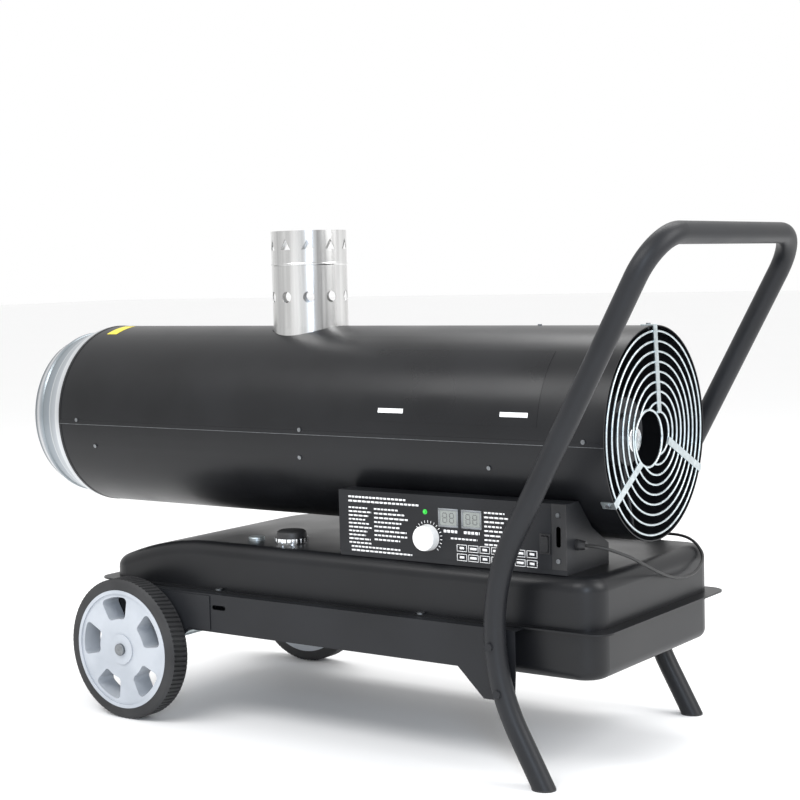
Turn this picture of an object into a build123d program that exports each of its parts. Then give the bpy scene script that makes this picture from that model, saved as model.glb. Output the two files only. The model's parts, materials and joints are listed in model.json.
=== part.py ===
from build123d import *
import math
import os

os.makedirs("parts", exist_ok=True)

# Millimetres. X runs from the hot-air outlet to the handle, Y away from the control panel, Z up.
# The origin is on the floor under the middle of the heater.

# Barrel
barrel_radius = 190
barrel_height = 578
shell_front = -686
shell_rear = 619
shell_wall = 1.2
seam_drop = 7
seam_lap = 14
lap_gap = 0.2
seam_screw_rise = 1
seam_screw_xs = [-632, -33, 580]
stay_angle = 16
stay_xs = [-587, -40]

# Hot-air outlet ring
outlet_wall = 1.2
outlet_overlap = 20
outlet_reach = 101.5
outlet_gap = 0.3
outlet_nose_drop = 23.5

# Heat exchanger and chamber
drum_radius = 160
drum_front = -640
drum_rear = 190
drum_wall = 2
chamber_radius = 112
chamber_front = -585
chamber_wall = 2
window_length = 120

# Flue
flue_x = -148.6
flue_radius = 75.5
flue_wall = 1
flue_top = 958
flue_gap = 0.4
flue_opening_gap = 2
socket_swell = 1
socket_gap = 4
collar_rise = 25
vent_count = 10
vent_hole_radius = 11
vent_hole_drop = 131
vent_notch_drop = 27
vent_notch_size = 12
flue_bead_drop = 66

# Burner
plate_wall = 3
plate_rim = 6
blast_radius = 54
blast_wall = 2
blast_front = 110
blast_rear = 300
blast_flange_radius = 75
diffuser_x = 126
diffuser_wall = 1.5
nozzle_front = 104
electrode_offset = 16
electrode_radius = 1.5
ceramic_radius = 5

# Fan and motor
fan_radius = 168
fan_hub_radius = 32
fan_front = 330
fan_hub_length = 36
fan_blades = 6
shaft_radius = 7
shaft_gap = 0.05
motor_radius = 62
motor_front = 398
motor_rear = 560
bracket_wall = 3
bracket_width = 30
bracket_foot = 24
pump_y = -36
pump_drop = 9
pump_radius = 46
pump_length = 24
pump_cover_radius = 23
pump_cover_length = 14
line_radius = 3
line_gap = 0.5
fuel_run_gap = 9.8
suction_x = 480
suction_y = -36

# Fan guard
guard_radii = [180, 162, 144, 126, 108.5, 91, 73.6, 55, 38]
guard_wire = 2
guard_x = 618
guard_dome = 0.75
guard_port_radius = 50
guard_port_y = -36
guard_port_drop = 6
guard_strap_width = 14
guard_strap_wall = 2
guard_strap_angles = [90, -25, -145]
guard_tab_length = 24

# Tank
tank_front = -514.7
tank_rear = 618.3
tank_half_width = 225
tank_bottom = 175
tank_top = 352
tank_wall = 1.5
tank_corner = 45
tank_shoulder = 25
tank_foot = 18
tank_nose = 297
tank_slope_end = -258.7
flange_height = 261.5
flange_wall = 1.5
flange_reach = 24
flange_side_reach = 15
flange_corner = 34
flange_screw_xs = [-430, -212, 266]

# Filler, gauge and drain
filler_x = -97
filler_y = -145
filler_radius = 26
filler_wall = 2
filler_rise = 5
cap_radius = 33
cap_band_radius = 30
cap_height = 24
gauge_x = -182
gauge_y = -150
gauge_radius = 16
drain_x = -420
drain_radius = 9

# Side panels, handle and axle
tube_radius = 19
tube_wall = 1.5
tube_y = 281
tube_knee_x = 453
tube_knee_z = 260
tube_knee_radius = 355
tube_lean = 28.8
tube_splay = 28.8
tube_corner = 80
tube_top = 925
plug_head = 3
panel_wall = 2
panel_bottom = 186
panel_front = -500
panel_rear = 481
gusset_bottom = 135
axle_lobe_bottom = 112
bolt_heights = [237, 157]
axle_x = -406.3
axle_z = 140
axle_radius = 8
axle_gap = 0.1
wheel_radius = 140
wheel_face = 311.6
wheel_width = 47
rim_radius = 118
hub_radius = 30
window_count = 5
window_inner = 60
window_outer = 104
window_half_angle = 20

# Saddles
saddle_xs = [30, 440]
saddle_length = 40
saddle_half_width = 58
saddle_wall = 2

# Control box
box_front = 71.6
box_rear = 555
box_face = -210
box_floor = 352
box_top = 474
box_back = -62
box_wall = 1.2
panel_thickness = 1.5
dial_x = 271
dial_z = 398
dial_radius = 24
dial_depth = 18
dial_shaft_radius = 3
display_centres = [(315.5, 436), (364.6, 436)]
display_size = 40
display_height = 31.5
lamp_x = 266
lamp_z = 444
lamp_radius = 3
board_x = 305
board_z = 418
board_length = 190
board_width = 70
board_inset = 7
switch_x = 514
switch_z = 404
switch_width = 18
switch_height = 32
cover_x = 540
cover_width = 27
gland_y = -173
gland_z = 400
gland_radius = 9
gland_length = 18

# Mains lead
cord_radius = 2.75
plug_width = 35
plug_thickness = 17.5
plug_length = 38
coil_x = 300
coil_y = 140
coil_outer = 38
coil_pitch = 6
coil_turns = 2.5
coil_tail = 40
coil_clearance = 0.1

# Fasteners
screw_shank = 1.95
screw_hole = 2.05
screw_head = 4
screw_head_height = 2.4
screw_length = 6
bolt_shank = 3.9
bolt_hole = 4
bolt_head = 7
bolt_head_height = 5
seat_gap = 0.3

barrel_axis = Axis((0, 0, barrel_height), (1, 0, 0))
shell_length = shell_rear - shell_front
seam_height = barrel_height - seam_drop
inner_radius = barrel_radius - shell_wall
outlet_rim_radius = inner_radius - outlet_gap
outlet_nose_radius = outlet_rim_radius - outlet_nose_drop


def barrel_plane(x):
    return Plane(origin=(x, 0, barrel_height), x_dir=(0, 1, 0), z_dir=(1, 0, 0))


def radial_plane(x, angle, radius, y=0, z=barrel_height):
    """Plane on a round body about an X line, facing outward at an angle from +Y towards +Z."""
    turn = math.radians(angle)
    outward = Vector(0, math.cos(turn), math.sin(turn))
    centre = Vector(x, y, z) + outward * radius
    return Plane(origin=centre, x_dir=(1, 0, 0), z_dir=outward)


seam_screw_planes = []
for x in seam_screw_xs:
    for angle in (0, 180):
        plane = radial_plane(x, angle, barrel_radius)
        raised = plane.origin + Vector(0, 0, seam_screw_rise)
        seam_screw_planes.append(Plane(origin=raised, x_dir=(1, 0, 0), z_dir=plane.z_dir))
low_screw_planes = []
for x in stay_xs + [motor_front - bracket_foot / 2]:
    for angle in (-stay_angle, 180 + stay_angle):
        low_screw_planes.append(radial_plane(x, angle, barrel_radius))
guard_screw_x = shell_rear - guard_tab_length / 2
guard_screw_planes = [radial_plane(guard_screw_x, angle, barrel_radius) for angle in guard_strap_angles]
burner_screw_planes = [radial_plane(motor_front - bracket_foot / 2, 90, barrel_radius)]
seat = (Align.CENTER, Align.CENTER, Align.MIN)
hang = (Align.CENTER, Align.CENTER, Align.MAX)

# Upper half of the barrel, with the opening for the flue
with BuildPart() as shell_upper:
    with BuildSketch(barrel_plane(shell_front)):
        Circle(barrel_radius)
        Circle(inner_radius, mode=Mode.SUBTRACT)
    extrude(amount=shell_length)
    split(bisect_by=Plane.XY.offset(seam_height), keep=Keep.TOP)
    with BuildSketch(Plane(origin=(flue_x, 0, barrel_height))):
        Circle(flue_radius + flue_opening_gap)
    extrude(amount=barrel_radius * 1.2, mode=Mode.SUBTRACT)
    with Locations(*seam_screw_planes, guard_screw_planes[0], burner_screw_planes[0]):
        Cylinder(screw_hole, 8, mode=Mode.SUBTRACT)
shell_upper.part.label = "shell_upper"
export_step(shell_upper.part, "parts/shell_upper.step")

# Lower half, with an inner lap strip along both seams
with BuildPart() as shell_lower:
    with BuildSketch(barrel_plane(shell_front)):
        Circle(barrel_radius)
        Circle(inner_radius, mode=Mode.SUBTRACT)
    extrude(amount=shell_length)
    split(bisect_by=Plane.XY.offset(seam_height), keep=Keep.BOTTOM)
    with BuildSketch(barrel_plane(shell_front + outlet_overlap + 2)):
        Circle(inner_radius)
        Circle(inner_radius - lap_gap - shell_wall, mode=Mode.SUBTRACT)
        with Locations((0, -seam_drop - seam_lap / 2)):
            Rectangle(barrel_radius * 2.2, seam_lap, mode=Mode.INTERSECT)
    extrude(amount=shell_length - outlet_overlap - 12)
    with BuildSketch(barrel_plane(shell_front + outlet_overlap + 2)):
        Circle(inner_radius - lap_gap)
        Circle(inner_radius - lap_gap - shell_wall, mode=Mode.SUBTRACT)
        with Locations((0, -seam_drop + seam_lap / 2)):
            Rectangle(barrel_radius * 2.2, seam_lap, mode=Mode.INTERSECT)
    extrude(amount=shell_length - outlet_overlap - 12)
    with Locations(*seam_screw_planes, *low_screw_planes, *guard_screw_planes[1:]):
        Cylinder(screw_hole, 8, mode=Mode.SUBTRACT)
    with Locations(Plane(origin=(suction_x, suction_y, barrel_height - barrel_radius))):
        Cylinder(line_radius + line_gap, 20, mode=Mode.SUBTRACT)
shell_lower.part.label = "shell_lower"
export_step(shell_lower.part, "parts/shell_lower.step")

with BuildPart() as shell_screws:
    with Locations(*seam_screw_planes, *low_screw_planes, burner_screw_planes[0]):
        Cylinder(screw_head, screw_head_height, align=seat)
        Cylinder(screw_shank, screw_length, align=hang)
    with Locations(*[plane.offset(guard_strap_wall) for plane in guard_screw_planes]):
        Cylinder(screw_head, screw_head_height, align=seat)
        Cylinder(screw_shank, screw_length + guard_strap_wall, align=hang)
shell_screws.part.label = "shell_screws"
export_step(shell_screws.part, "parts/shell_screws.step")

# Rolled and beaded outlet ring, made as one thin turned section
outlet_front = shell_front - outlet_reach
step_x = shell_front - 14
ridge_x = shell_front - 41
bead_x = shell_front - 67
nose_x = shell_front - 80
rim_step = outlet_rim_radius - 4.5
ridge_radius = outlet_rim_radius - 10.5
bead_radius = outlet_rim_radius - 15
nose_start = outlet_nose_radius + 6
ridge_middle = (step_x + ridge_x) / 2
ridge_rise = (rim_step + ridge_radius) / 2 + 1.5
bead_middle = (bead_x + nose_x) / 2
curl_middle = outlet_nose_radius - 3.5
curl_end = outlet_nose_radius - 7
with BuildPart() as outlet_ring:
    with BuildSketch(Plane(origin=(0, 0, barrel_height), x_dir=(1, 0, 0), z_dir=(0, -1, 0))):
        with BuildLine():
            top = Polyline(
                (shell_front + outlet_overlap, outlet_rim_radius),
                (step_x, outlet_rim_radius),
                (step_x - 1.5, rim_step),
            )
            ridge = ThreePointArc(top @ 1, (ridge_middle, ridge_rise), (ridge_x, ridge_radius))
            band = Line(ridge @ 1, (bead_x, bead_radius))
            bead = ThreePointArc(band @ 1, (bead_middle, bead_radius + 2), (nose_x, nose_start))
            nose = Line(bead @ 1, (outlet_front + 4, outlet_nose_radius))
            curl = ThreePointArc(nose @ 1, (outlet_front, curl_middle), (outlet_front + 4, curl_end))
            lip = Line(curl @ 1, (outlet_front + 4, curl_end + outlet_wall))
            curl_in = ThreePointArc(
                lip @ 1,
                (outlet_front + outlet_wall, curl_middle),
                (outlet_front + 4, outlet_nose_radius - outlet_wall),
            )
            nose_in = Line(curl_in @ 1, (nose_x, nose_start - outlet_wall))
            bead_in = ThreePointArc(
                nose_in @ 1,
                (bead_middle, bead_radius + 2 - outlet_wall),
                (bead_x, bead_radius - outlet_wall),
            )
            band_in = Line(bead_in @ 1, (ridge_x, ridge_radius - outlet_wall))
            ridge_in = ThreePointArc(
                band_in @ 1,
                (ridge_middle, ridge_rise - outlet_wall),
                (step_x - 0.3, rim_step - outlet_wall),
            )
            Polyline(
                ridge_in @ 1,
                (step_x + outlet_wall, outlet_rim_radius - outlet_wall),
                (shell_front + outlet_overlap, outlet_rim_radius - outlet_wall),
                (shell_front + outlet_overlap, outlet_rim_radius),
            )
        make_face()
    revolve(axis=barrel_axis)
outlet_ring.part.label = "outlet_ring"
export_step(outlet_ring.part, "parts/outlet_ring.step")

# Closed drum round the fire, with the collar that the flue slips over
socket_radius = flue_radius + socket_swell
collar_radius = socket_radius - flue_wall - flue_gap
collar_top = barrel_height + drum_radius + collar_rise
with BuildPart() as heat_exchanger:
    with BuildSketch(barrel_plane(drum_front)):
        Circle(drum_radius)
    extrude(amount=drum_rear - drum_front)
    with BuildSketch(Plane(origin=(flue_x, 0, barrel_height + drum_radius / 2))):
        Circle(collar_radius)
    extrude(amount=collar_top - barrel_height - drum_radius / 2)
    with BuildSketch(barrel_plane(drum_front + drum_wall)):
        Circle(drum_radius - drum_wall)
    extrude(amount=drum_rear - drum_front, mode=Mode.SUBTRACT)
    with BuildSketch(Plane(origin=(flue_x, 0, barrel_height))):
        Circle(collar_radius - drum_wall)
    extrude(amount=collar_top, mode=Mode.SUBTRACT)
heat_exchanger.part.label = "heat_exchanger"
export_step(heat_exchanger.part, "parts/heat_exchanger.step")

# Inner chamber with the window that lets the gases back along the drum
with BuildPart() as combustion_chamber:
    with BuildSketch(barrel_plane(chamber_front)):
        Circle(chamber_radius)
    extrude(amount=drum_rear - chamber_front)
    with BuildSketch(barrel_plane(chamber_front + chamber_wall)):
        Circle(chamber_radius - chamber_wall)
    extrude(amount=drum_rear - chamber_front, mode=Mode.SUBTRACT)
    with BuildSketch(Plane(origin=(chamber_front + window_length, 0, barrel_height))):
        Rectangle(window_length, chamber_radius)
    extrude(amount=-barrel_radius, mode=Mode.SUBTRACT)
combustion_chamber.part.label = "combustion_chamber"
export_step(combustion_chamber.part, "parts/combustion_chamber.step")

# Brackets that hold the drum in the barrel
stay_foot = 24
with BuildPart() as drum_stays:
    for x in stay_xs:
        for angle in (-stay_angle, 180 + stay_angle, 60, 120):
            foot_plane = radial_plane(x, angle, inner_radius - seat_gap)
            with BuildSketch(foot_plane):
                Rectangle(stay_foot, 4)
            extrude(amount=-(inner_radius - drum_radius - 2 * seat_gap))
            with BuildSketch(radial_plane(x, angle, inner_radius - 1)):
                Rectangle(stay_foot, stay_foot / 2)
            extrude(amount=-3)
            with Locations(foot_plane):
                Cylinder(screw_hole, 2 * screw_length, mode=Mode.SUBTRACT)
drum_stays.part.label = "drum_stays"
export_step(drum_stays.part, "parts/drum_stays.step")

# Flue pipe: a widened socket over the collar, a bead, a row of round holes and a row of notches under the rim
flue_bottom = barrel_height + drum_radius + seat_gap
socket_top = collar_top + socket_gap
with BuildPart() as flue_pipe:
    with BuildSketch(Plane(origin=(flue_x, 0, flue_bottom))):
        Circle(flue_radius)
    extrude(amount=flue_top - flue_bottom)
    with BuildSketch(Plane(origin=(flue_x, 0, flue_bottom))):
        Circle(socket_radius)
    extrude(amount=socket_top + flue_wall - flue_bottom)
    with BuildSketch(Plane(origin=(flue_x, 0, 0), x_dir=(1, 0, 0), z_dir=(0, -1, 0))):
        with Locations((flue_radius - 0.6, flue_top - flue_bead_drop)):
            Ellipse(1.6, 3)
    revolve(axis=Axis((flue_x, 0, 0), (0, 0, 1)))
    with BuildSketch(Plane(origin=(flue_x, 0, flue_bottom))):
        Circle(flue_radius - flue_wall)
    extrude(amount=flue_top - flue_bottom, mode=Mode.SUBTRACT)
    with BuildSketch(Plane(origin=(flue_x, 0, flue_bottom))):
        Circle(socket_radius - flue_wall)
    extrude(amount=socket_top - flue_bottom, mode=Mode.SUBTRACT)
    for i in range(vent_count):
        turn = math.radians(360 / vent_count * (i + 0.5))
        outward = Vector(math.cos(turn), math.sin(turn), 0)
        side = Vector(-math.sin(turn), math.cos(turn), 0)
        base = Vector(flue_x, 0, flue_top) + outward * flue_radius
        with BuildSketch(Plane(origin=base - Vector(0, 0, vent_hole_drop), x_dir=side, z_dir=outward)):
            Circle(vent_hole_radius)
        extrude(amount=6, both=True, mode=Mode.SUBTRACT)
        with BuildSketch(Plane(origin=base - Vector(0, 0, vent_notch_drop), x_dir=side, z_dir=outward)):
            Polygon(
                (-vent_notch_size, -vent_notch_size + 1.5),
                (vent_notch_size, -vent_notch_size + 1.5),
                (0, vent_notch_size - 1.5),
                align=None,
            )
        extrude(amount=6, both=True, mode=Mode.SUBTRACT)
flue_pipe.part.label = "flue_pipe"
export_step(flue_pipe.part, "parts/flue_pipe.step")

# Plate that closes the drum and carries the burner
with BuildPart() as burner_plate:
    with BuildSketch(barrel_plane(drum_rear)):
        Circle(drum_radius + plate_rim)
        Circle(blast_radius + seat_gap, mode=Mode.SUBTRACT)
    extrude(amount=plate_wall)
burner_plate.part.label = "burner_plate"
export_step(burner_plate.part, "parts/burner_plate.step")

# Blast tube with its flange, and a rear spider that holds the nozzle line and the electrodes
flange_x = drum_rear + plate_wall
spider_boss = electrode_offset + ceramic_radius + 4
with BuildPart() as blast_tube:
    with BuildSketch(barrel_plane(blast_front)):
        Circle(blast_radius)
    extrude(amount=blast_rear - blast_front)
    with BuildSketch(barrel_plane(flange_x)):
        Circle(blast_flange_radius)
    extrude(amount=plate_wall)
    with BuildSketch(barrel_plane(blast_front)):
        Circle(blast_radius - blast_wall)
    extrude(amount=blast_rear - blast_front, mode=Mode.SUBTRACT)
    with BuildSketch(barrel_plane(blast_rear - plate_wall)):
        Rectangle(2 * (blast_radius - blast_wall) + 1, 16)
        Rectangle(16, 2 * (blast_radius - blast_wall) + 1)
        Circle(spider_boss)
        Circle(blast_radius - blast_wall / 2, mode=Mode.INTERSECT)
        Circle(line_radius, mode=Mode.SUBTRACT)
        with Locations((-electrode_offset, 0), (electrode_offset, 0)):
            Circle(ceramic_radius, mode=Mode.SUBTRACT)
    extrude(amount=plate_wall)
blast_tube.part.label = "blast_tube"
export_step(blast_tube.part, "parts/blast_tube.step")

with BuildPart() as air_diffuser:
    with BuildSketch(barrel_plane(diffuser_x)):
        Circle(blast_radius - blast_wall)
        Circle(spider_boss, mode=Mode.SUBTRACT)
        with PolarLocations((blast_radius + spider_boss) / 2 - 1, 12):
            Rectangle(18, 3, mode=Mode.SUBTRACT)
    extrude(amount=diffuser_wall)
air_diffuser.part.label = "air_diffuser"
export_step(air_diffuser.part, "parts/air_diffuser.step")

# Nozzle on the end of its own straight line
nozzle_length = 24
line_rear = blast_rear + 14
with BuildPart() as fuel_nozzle:
    with BuildSketch(barrel_plane(nozzle_front)):
        RegularPolygon(8, 6)
    extrude(amount=nozzle_length)
    with BuildSketch(barrel_plane(nozzle_front + nozzle_length)):
        Circle(line_radius)
    extrude(amount=line_rear - nozzle_front - nozzle_length)
    with BuildSketch(barrel_plane(nozzle_front)):
        Circle(0.8)
    extrude(amount=6, mode=Mode.SUBTRACT)
fuel_nozzle.part.label = "fuel_nozzle"
export_step(fuel_nozzle.part, "parts/fuel_nozzle.step")

with BuildPart() as ignition_electrodes:
    for side in (-1, 1):
        with BuildSketch(barrel_plane(nozzle_front + nozzle_length + 20)):
            with Locations((side * electrode_offset, 0)):
                Circle(ceramic_radius)
        extrude(amount=line_rear - nozzle_front - nozzle_length - 20)
        with BuildSketch(barrel_plane(nozzle_front - 4)):
            with Locations((side * electrode_offset, 0)):
                Circle(electrode_radius)
        extrude(amount=nozzle_length + 24)
        with BuildSketch(barrel_plane(nozzle_front - 4)):
            with Locations((side * (electrode_offset + 2) / 2, 0)):
                Rectangle(electrode_offset - 2, 2 * electrode_radius)
        extrude(amount=2 * electrode_radius)
ignition_electrodes.part.label = "ignition_electrodes"
export_step(ignition_electrodes.part, "parts/ignition_electrodes.step")

with BuildPart() as flame_sensor:
    with BuildSketch(barrel_plane(blast_rear)):
        with Locations((0, spider_boss + 10)):
            Circle(7)
    extrude(amount=26)
flame_sensor.part.label = "flame_sensor"
export_step(flame_sensor.part, "parts/flame_sensor.step")

# Fan, its shaft and its motor
with BuildPart() as motor_shaft:
    with BuildSketch(barrel_plane(fan_front - 4)):
        Circle(shaft_radius)
    extrude(amount=motor_rear - 20 - fan_front + 4)
motor_shaft.part.label = "motor_shaft"
export_step(motor_shaft.part, "parts/motor_shaft.step")

blade_chord = 62
blade_wall = 2.5
blade_pitch = 28
fan_middle = fan_front + fan_hub_length / 2
with BuildPart() as fan_impeller:
    for i in range(fan_blades):
        blade_plane = radial_plane(fan_middle, 360 / fan_blades * i, fan_hub_radius - 4)
        with BuildSketch(blade_plane):
            with Locations(Rotation(0, 0, blade_pitch)):
                Rectangle(blade_wall, blade_chord)
        extrude(amount=fan_radius - fan_hub_radius)
    with BuildSketch(barrel_plane(fan_front - fan_hub_length)):
        Circle(fan_radius)
    extrude(amount=3 * fan_hub_length, mode=Mode.INTERSECT)
    with BuildSketch(barrel_plane(fan_front)):
        Circle(fan_hub_radius)
    extrude(amount=fan_hub_length)
    with BuildSketch(barrel_plane(fan_front)):
        Circle(shaft_radius)
    extrude(amount=fan_hub_length, mode=Mode.SUBTRACT)
fan_impeller.part.label = "fan_impeller"
export_step(fan_impeller.part, "parts/fan_impeller.step")

with BuildPart() as fan_motor:
    with BuildSketch(barrel_plane(motor_front)):
        Circle(motor_radius)
    extrude(amount=motor_rear - motor_front)
    fillet(fan_motor.edges().filter_by(GeomType.CIRCLE).group_by(Axis.X)[0], 4)
    with BuildSketch(barrel_plane(motor_front)):
        Circle(shaft_radius + shaft_gap)
    extrude(amount=motor_rear - 15 - motor_front, mode=Mode.SUBTRACT)
    for i in range(5):
        with BuildSketch(barrel_plane(motor_front + 45 + 16 * i)):
            Circle(motor_radius)
            Circle(motor_radius - 3, mode=Mode.SUBTRACT)
        extrude(amount=5, mode=Mode.SUBTRACT)
fan_motor.part.label = "fan_motor"
export_step(fan_motor.part, "parts/fan_motor.step")

# Three-armed bracket: a flat ring against the motor and a foot on the barrel for each arm
foot_radius = inner_radius - 1
bracket_angles = [90, -stay_angle, 180 + stay_angle]
with BuildPart() as motor_bracket:
    with BuildSketch(barrel_plane(motor_front - bracket_wall)):
        Circle(motor_radius - 4)
        for angle in bracket_angles:
            with Locations(Rotation(0, 0, angle)):
                Rectangle(foot_radius, bracket_width, align=(Align.MIN, Align.CENTER))
        Circle(shaft_radius + 12, mode=Mode.SUBTRACT)
    extrude(amount=bracket_wall)
    for angle in bracket_angles:
        with BuildSketch(radial_plane(motor_front - bracket_foot / 2, angle, foot_radius)):
            Rectangle(bracket_foot, bracket_width)
        extrude(amount=-bracket_wall)
    with Locations(*low_screw_planes[-2:], burner_screw_planes[0]):
        Cylinder(screw_hole, 20, mode=Mode.SUBTRACT)
motor_bracket.part.label = "motor_bracket"
export_step(motor_bracket.part, "parts/motor_bracket.step")

# Fuel pump on the motor's rear face
with BuildPart() as fuel_pump:
    with BuildSketch(barrel_plane(motor_rear)):
        with Locations((pump_y, -pump_drop)):
            Circle(pump_radius)
    extrude(amount=pump_length)
    fillet(fuel_pump.edges().filter_by(GeomType.CIRCLE).group_by(Axis.X)[-1], 3)
fuel_pump.part.label = "fuel_pump"
export_step(fuel_pump.part, "parts/fuel_pump.step")

with BuildPart() as pump_cover:
    with BuildSketch(barrel_plane(motor_rear + pump_length)):
        with Locations((pump_y, -pump_drop)):
            Circle(pump_cover_radius)
    extrude(amount=pump_cover_length)
    fillet(pump_cover.edges().filter_by(GeomType.CIRCLE).group_by(Axis.X)[-1], 2)
pump_cover.part.label = "pump_cover"
export_step(pump_cover.part, "parts/pump_cover.step")

# Fuel pipe from the pump round the fan to the nozzle line
pump_port_x = motor_rear + pump_length / 2
pump_foot = barrel_height - pump_drop - pump_radius
fuel_run = barrel_height - inner_radius + fuel_run_gap
nozzle_drop_x = line_rear + 9
with BuildPart() as fuel_line:
    with BuildLine():
        fuel_path = FilletPolyline(
            (pump_port_x, pump_y, pump_foot),
            (pump_port_x, 0, fuel_run),
            (nozzle_drop_x, 0, fuel_run),
            (nozzle_drop_x, 0, barrel_height),
            (line_rear, 0, barrel_height),
            radius=7,
        )
    with BuildSketch(Plane(origin=fuel_path @ 0, z_dir=fuel_path % 0)):
        Circle(line_radius)
    sweep(path=fuel_path)
fuel_line.part.label = "fuel_line"
export_step(fuel_line.part, "parts/fuel_line.step")

# Pipe from the pump down to the tank
pump_side = pump_y - pump_radius
with BuildPart() as suction_line:
    with BuildLine():
        suction_path = FilletPolyline(
            (pump_port_x - 6, suction_y + 8, pump_foot + 4),
            (pump_port_x - 6, suction_y, pump_foot - 60),
            (suction_x, suction_y, pump_foot - 80),
            (suction_x, suction_y, tank_bottom + 20),
            radius=14,
        )
    with BuildSketch(Plane(origin=suction_path @ 0, z_dir=suction_path % 0)):
        Circle(line_radius)
    sweep(path=suction_path)
suction_line.part.label = "suction_line"
export_step(suction_line.part, "parts/suction_line.step")

# Wire guard: rings, three flat straps that bend over the barrel, and a round port for the pump
guard_rise = guard_dome * (len(guard_radii) - 1)
guard_lean = math.degrees(math.atan2(guard_rise, guard_radii[0] - guard_radii[-1]))
with BuildPart() as guard_straps:
    for angle in guard_strap_angles:
        outer = radial_plane(guard_x + guard_wire, angle, guard_radii[0])
        inner = radial_plane(guard_x + guard_wire + guard_rise, angle, guard_radii[-1])
        along = (inner.origin - outer.origin).normalized()
        across = Vector(0, -math.sin(math.radians(angle)), math.cos(math.radians(angle)))
        strap_length = (inner.origin - outer.origin).length
        with BuildSketch(Plane(origin=outer.origin, x_dir=along, z_dir=along.cross(across))):
            with Locations((strap_length / 2, 0)):
                Rectangle(strap_length + 2 * guard_wire, guard_strap_width)
        extrude(amount=guard_strap_wall / 2, both=True)
        with BuildSketch(radial_plane(shell_rear - guard_tab_length, angle, barrel_radius)):
            Rectangle(
                guard_x + guard_wire + guard_strap_wall / 2 - shell_rear + guard_tab_length,
                guard_strap_width,
                align=(Align.MIN, Align.CENTER),
            )
        extrude(amount=guard_strap_wall)
        with BuildSketch(radial_plane(guard_x + guard_wire, angle, guard_radii[0] - guard_wire)):
            Rectangle(guard_strap_wall, guard_strap_width)
        extrude(amount=barrel_radius + guard_strap_wall - guard_radii[0] + guard_wire)
    with BuildSketch(barrel_plane(guard_x - 10)):
        with Locations((guard_port_y, -guard_port_drop)):
            Circle(guard_port_radius)
    extrude(amount=40, mode=Mode.SUBTRACT)
    with Locations(*guard_screw_planes):
        Cylinder(screw_hole, 20, mode=Mode.SUBTRACT)
port_angle = math.atan2(-guard_port_drop, guard_port_y)
port_reach = math.hypot(guard_port_y, guard_port_drop)
port_origin = (guard_x + guard_rise - guard_dome, guard_port_y, barrel_height - guard_port_drop)
port_plane = Plane(origin=port_origin, z_dir=(1, 0, 0))
with BuildPart() as fan_guard:
    for i, radius in enumerate(guard_radii):
        ring_plane = barrel_plane(guard_x + guard_dome * i)
        if abs(radius - port_reach) < guard_port_radius:
            half = math.acos((radius**2 + port_reach**2 - guard_port_radius**2) / (2 * radius * port_reach))
            with BuildLine(ring_plane) as ring_line:
                CenterArc((0, 0), radius, math.degrees(port_angle + half), 360 - 2 * math.degrees(half))
            with BuildSketch(Plane(origin=ring_line.wires()[0] @ 0, z_dir=ring_line.wires()[0] % 0)):
                Circle(guard_wire)
            sweep(path=ring_line.wires()[0])
        else:
            with Locations(ring_plane):
                Torus(radius, guard_wire)
    with Locations(port_plane):
        Torus(guard_port_radius, guard_wire + 0.2)
    add(guard_straps.part)
fan_guard.part.label = "fan_guard"
export_step(fan_guard.part, "parts/fan_guard.step")

# Tank: two pressed halves that meet in a flange
tank_length = tank_rear - tank_front
tank_middle = (tank_rear + tank_front) / 2
slope_run = tank_slope_end - tank_front
slope_drop = tank_top - tank_nose
slope_radius = (slope_run**2 + slope_drop**2) / (2 * slope_drop)
profile_overrun = 5


def tank_top_core(inset):
    """Solid under the upper half of the tank, drawn in by an inset."""
    front = tank_front + inset - profile_overrun
    rear = tank_rear - inset + profile_overrun
    top = tank_top - inset
    radius = slope_radius - inset
    foot_angle = math.asin((tank_slope_end - front) / radius)
    foot_height = top - radius + radius * math.cos(foot_angle)
    middle = (
        tank_slope_end - radius * math.sin(foot_angle / 2),
        top - radius + radius * math.cos(foot_angle / 2),
    )
    with BuildPart() as core:
        with BuildSketch(Plane.XZ):
            with BuildLine():
                slope = ThreePointArc((front, foot_height), middle, (tank_slope_end, top))
                Polyline(
                    slope @ 1,
                    (rear, top),
                    (rear, flange_height),
                    (front, flange_height),
                    (front, foot_height),
                )
            make_face()
        extrude(amount=tank_half_width + profile_overrun, both=True)
        with BuildSketch(Plane.XY.offset(flange_height)):
            with Locations((tank_middle, 0)):
                RectangleRounded(tank_length - 2 * inset, 2 * (tank_half_width - inset), tank_corner - inset)
        extrude(amount=tank_top, mode=Mode.INTERSECT)
        edges = [e for e in core.edges() if e.bounding_box().min.Z > foot_height - 1]
        fillet([e for e in edges if abs(e.center().X - tank_slope_end) > 1], tank_shoulder - inset)
    return core.part


def tank_bottom_core(inset):
    """Solid above the lower half of the tank, drawn in by an inset."""
    with BuildPart() as core:
        with BuildSketch(Plane.XY.offset(tank_bottom + inset)):
            with Locations((tank_middle, 0)):
                RectangleRounded(tank_length - 2 * inset, 2 * (tank_half_width - inset), tank_corner - inset)
        extrude(amount=flange_height - tank_bottom - inset)
        fillet(core.edges().group_by(Axis.Z)[0], tank_foot - inset)
    return core.part


flange_length = tank_length + 2 * flange_reach
flange_width = 2 * (tank_half_width + flange_side_reach)
flange_screw_y = tank_half_width + flange_side_reach / 2
flange_screw_planes = []
for x in flange_screw_xs:
    for side in (-1, 1):
        flange_screw_planes.append(Plane(origin=(x, side * flange_screw_y, flange_height + flange_wall)))

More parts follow.
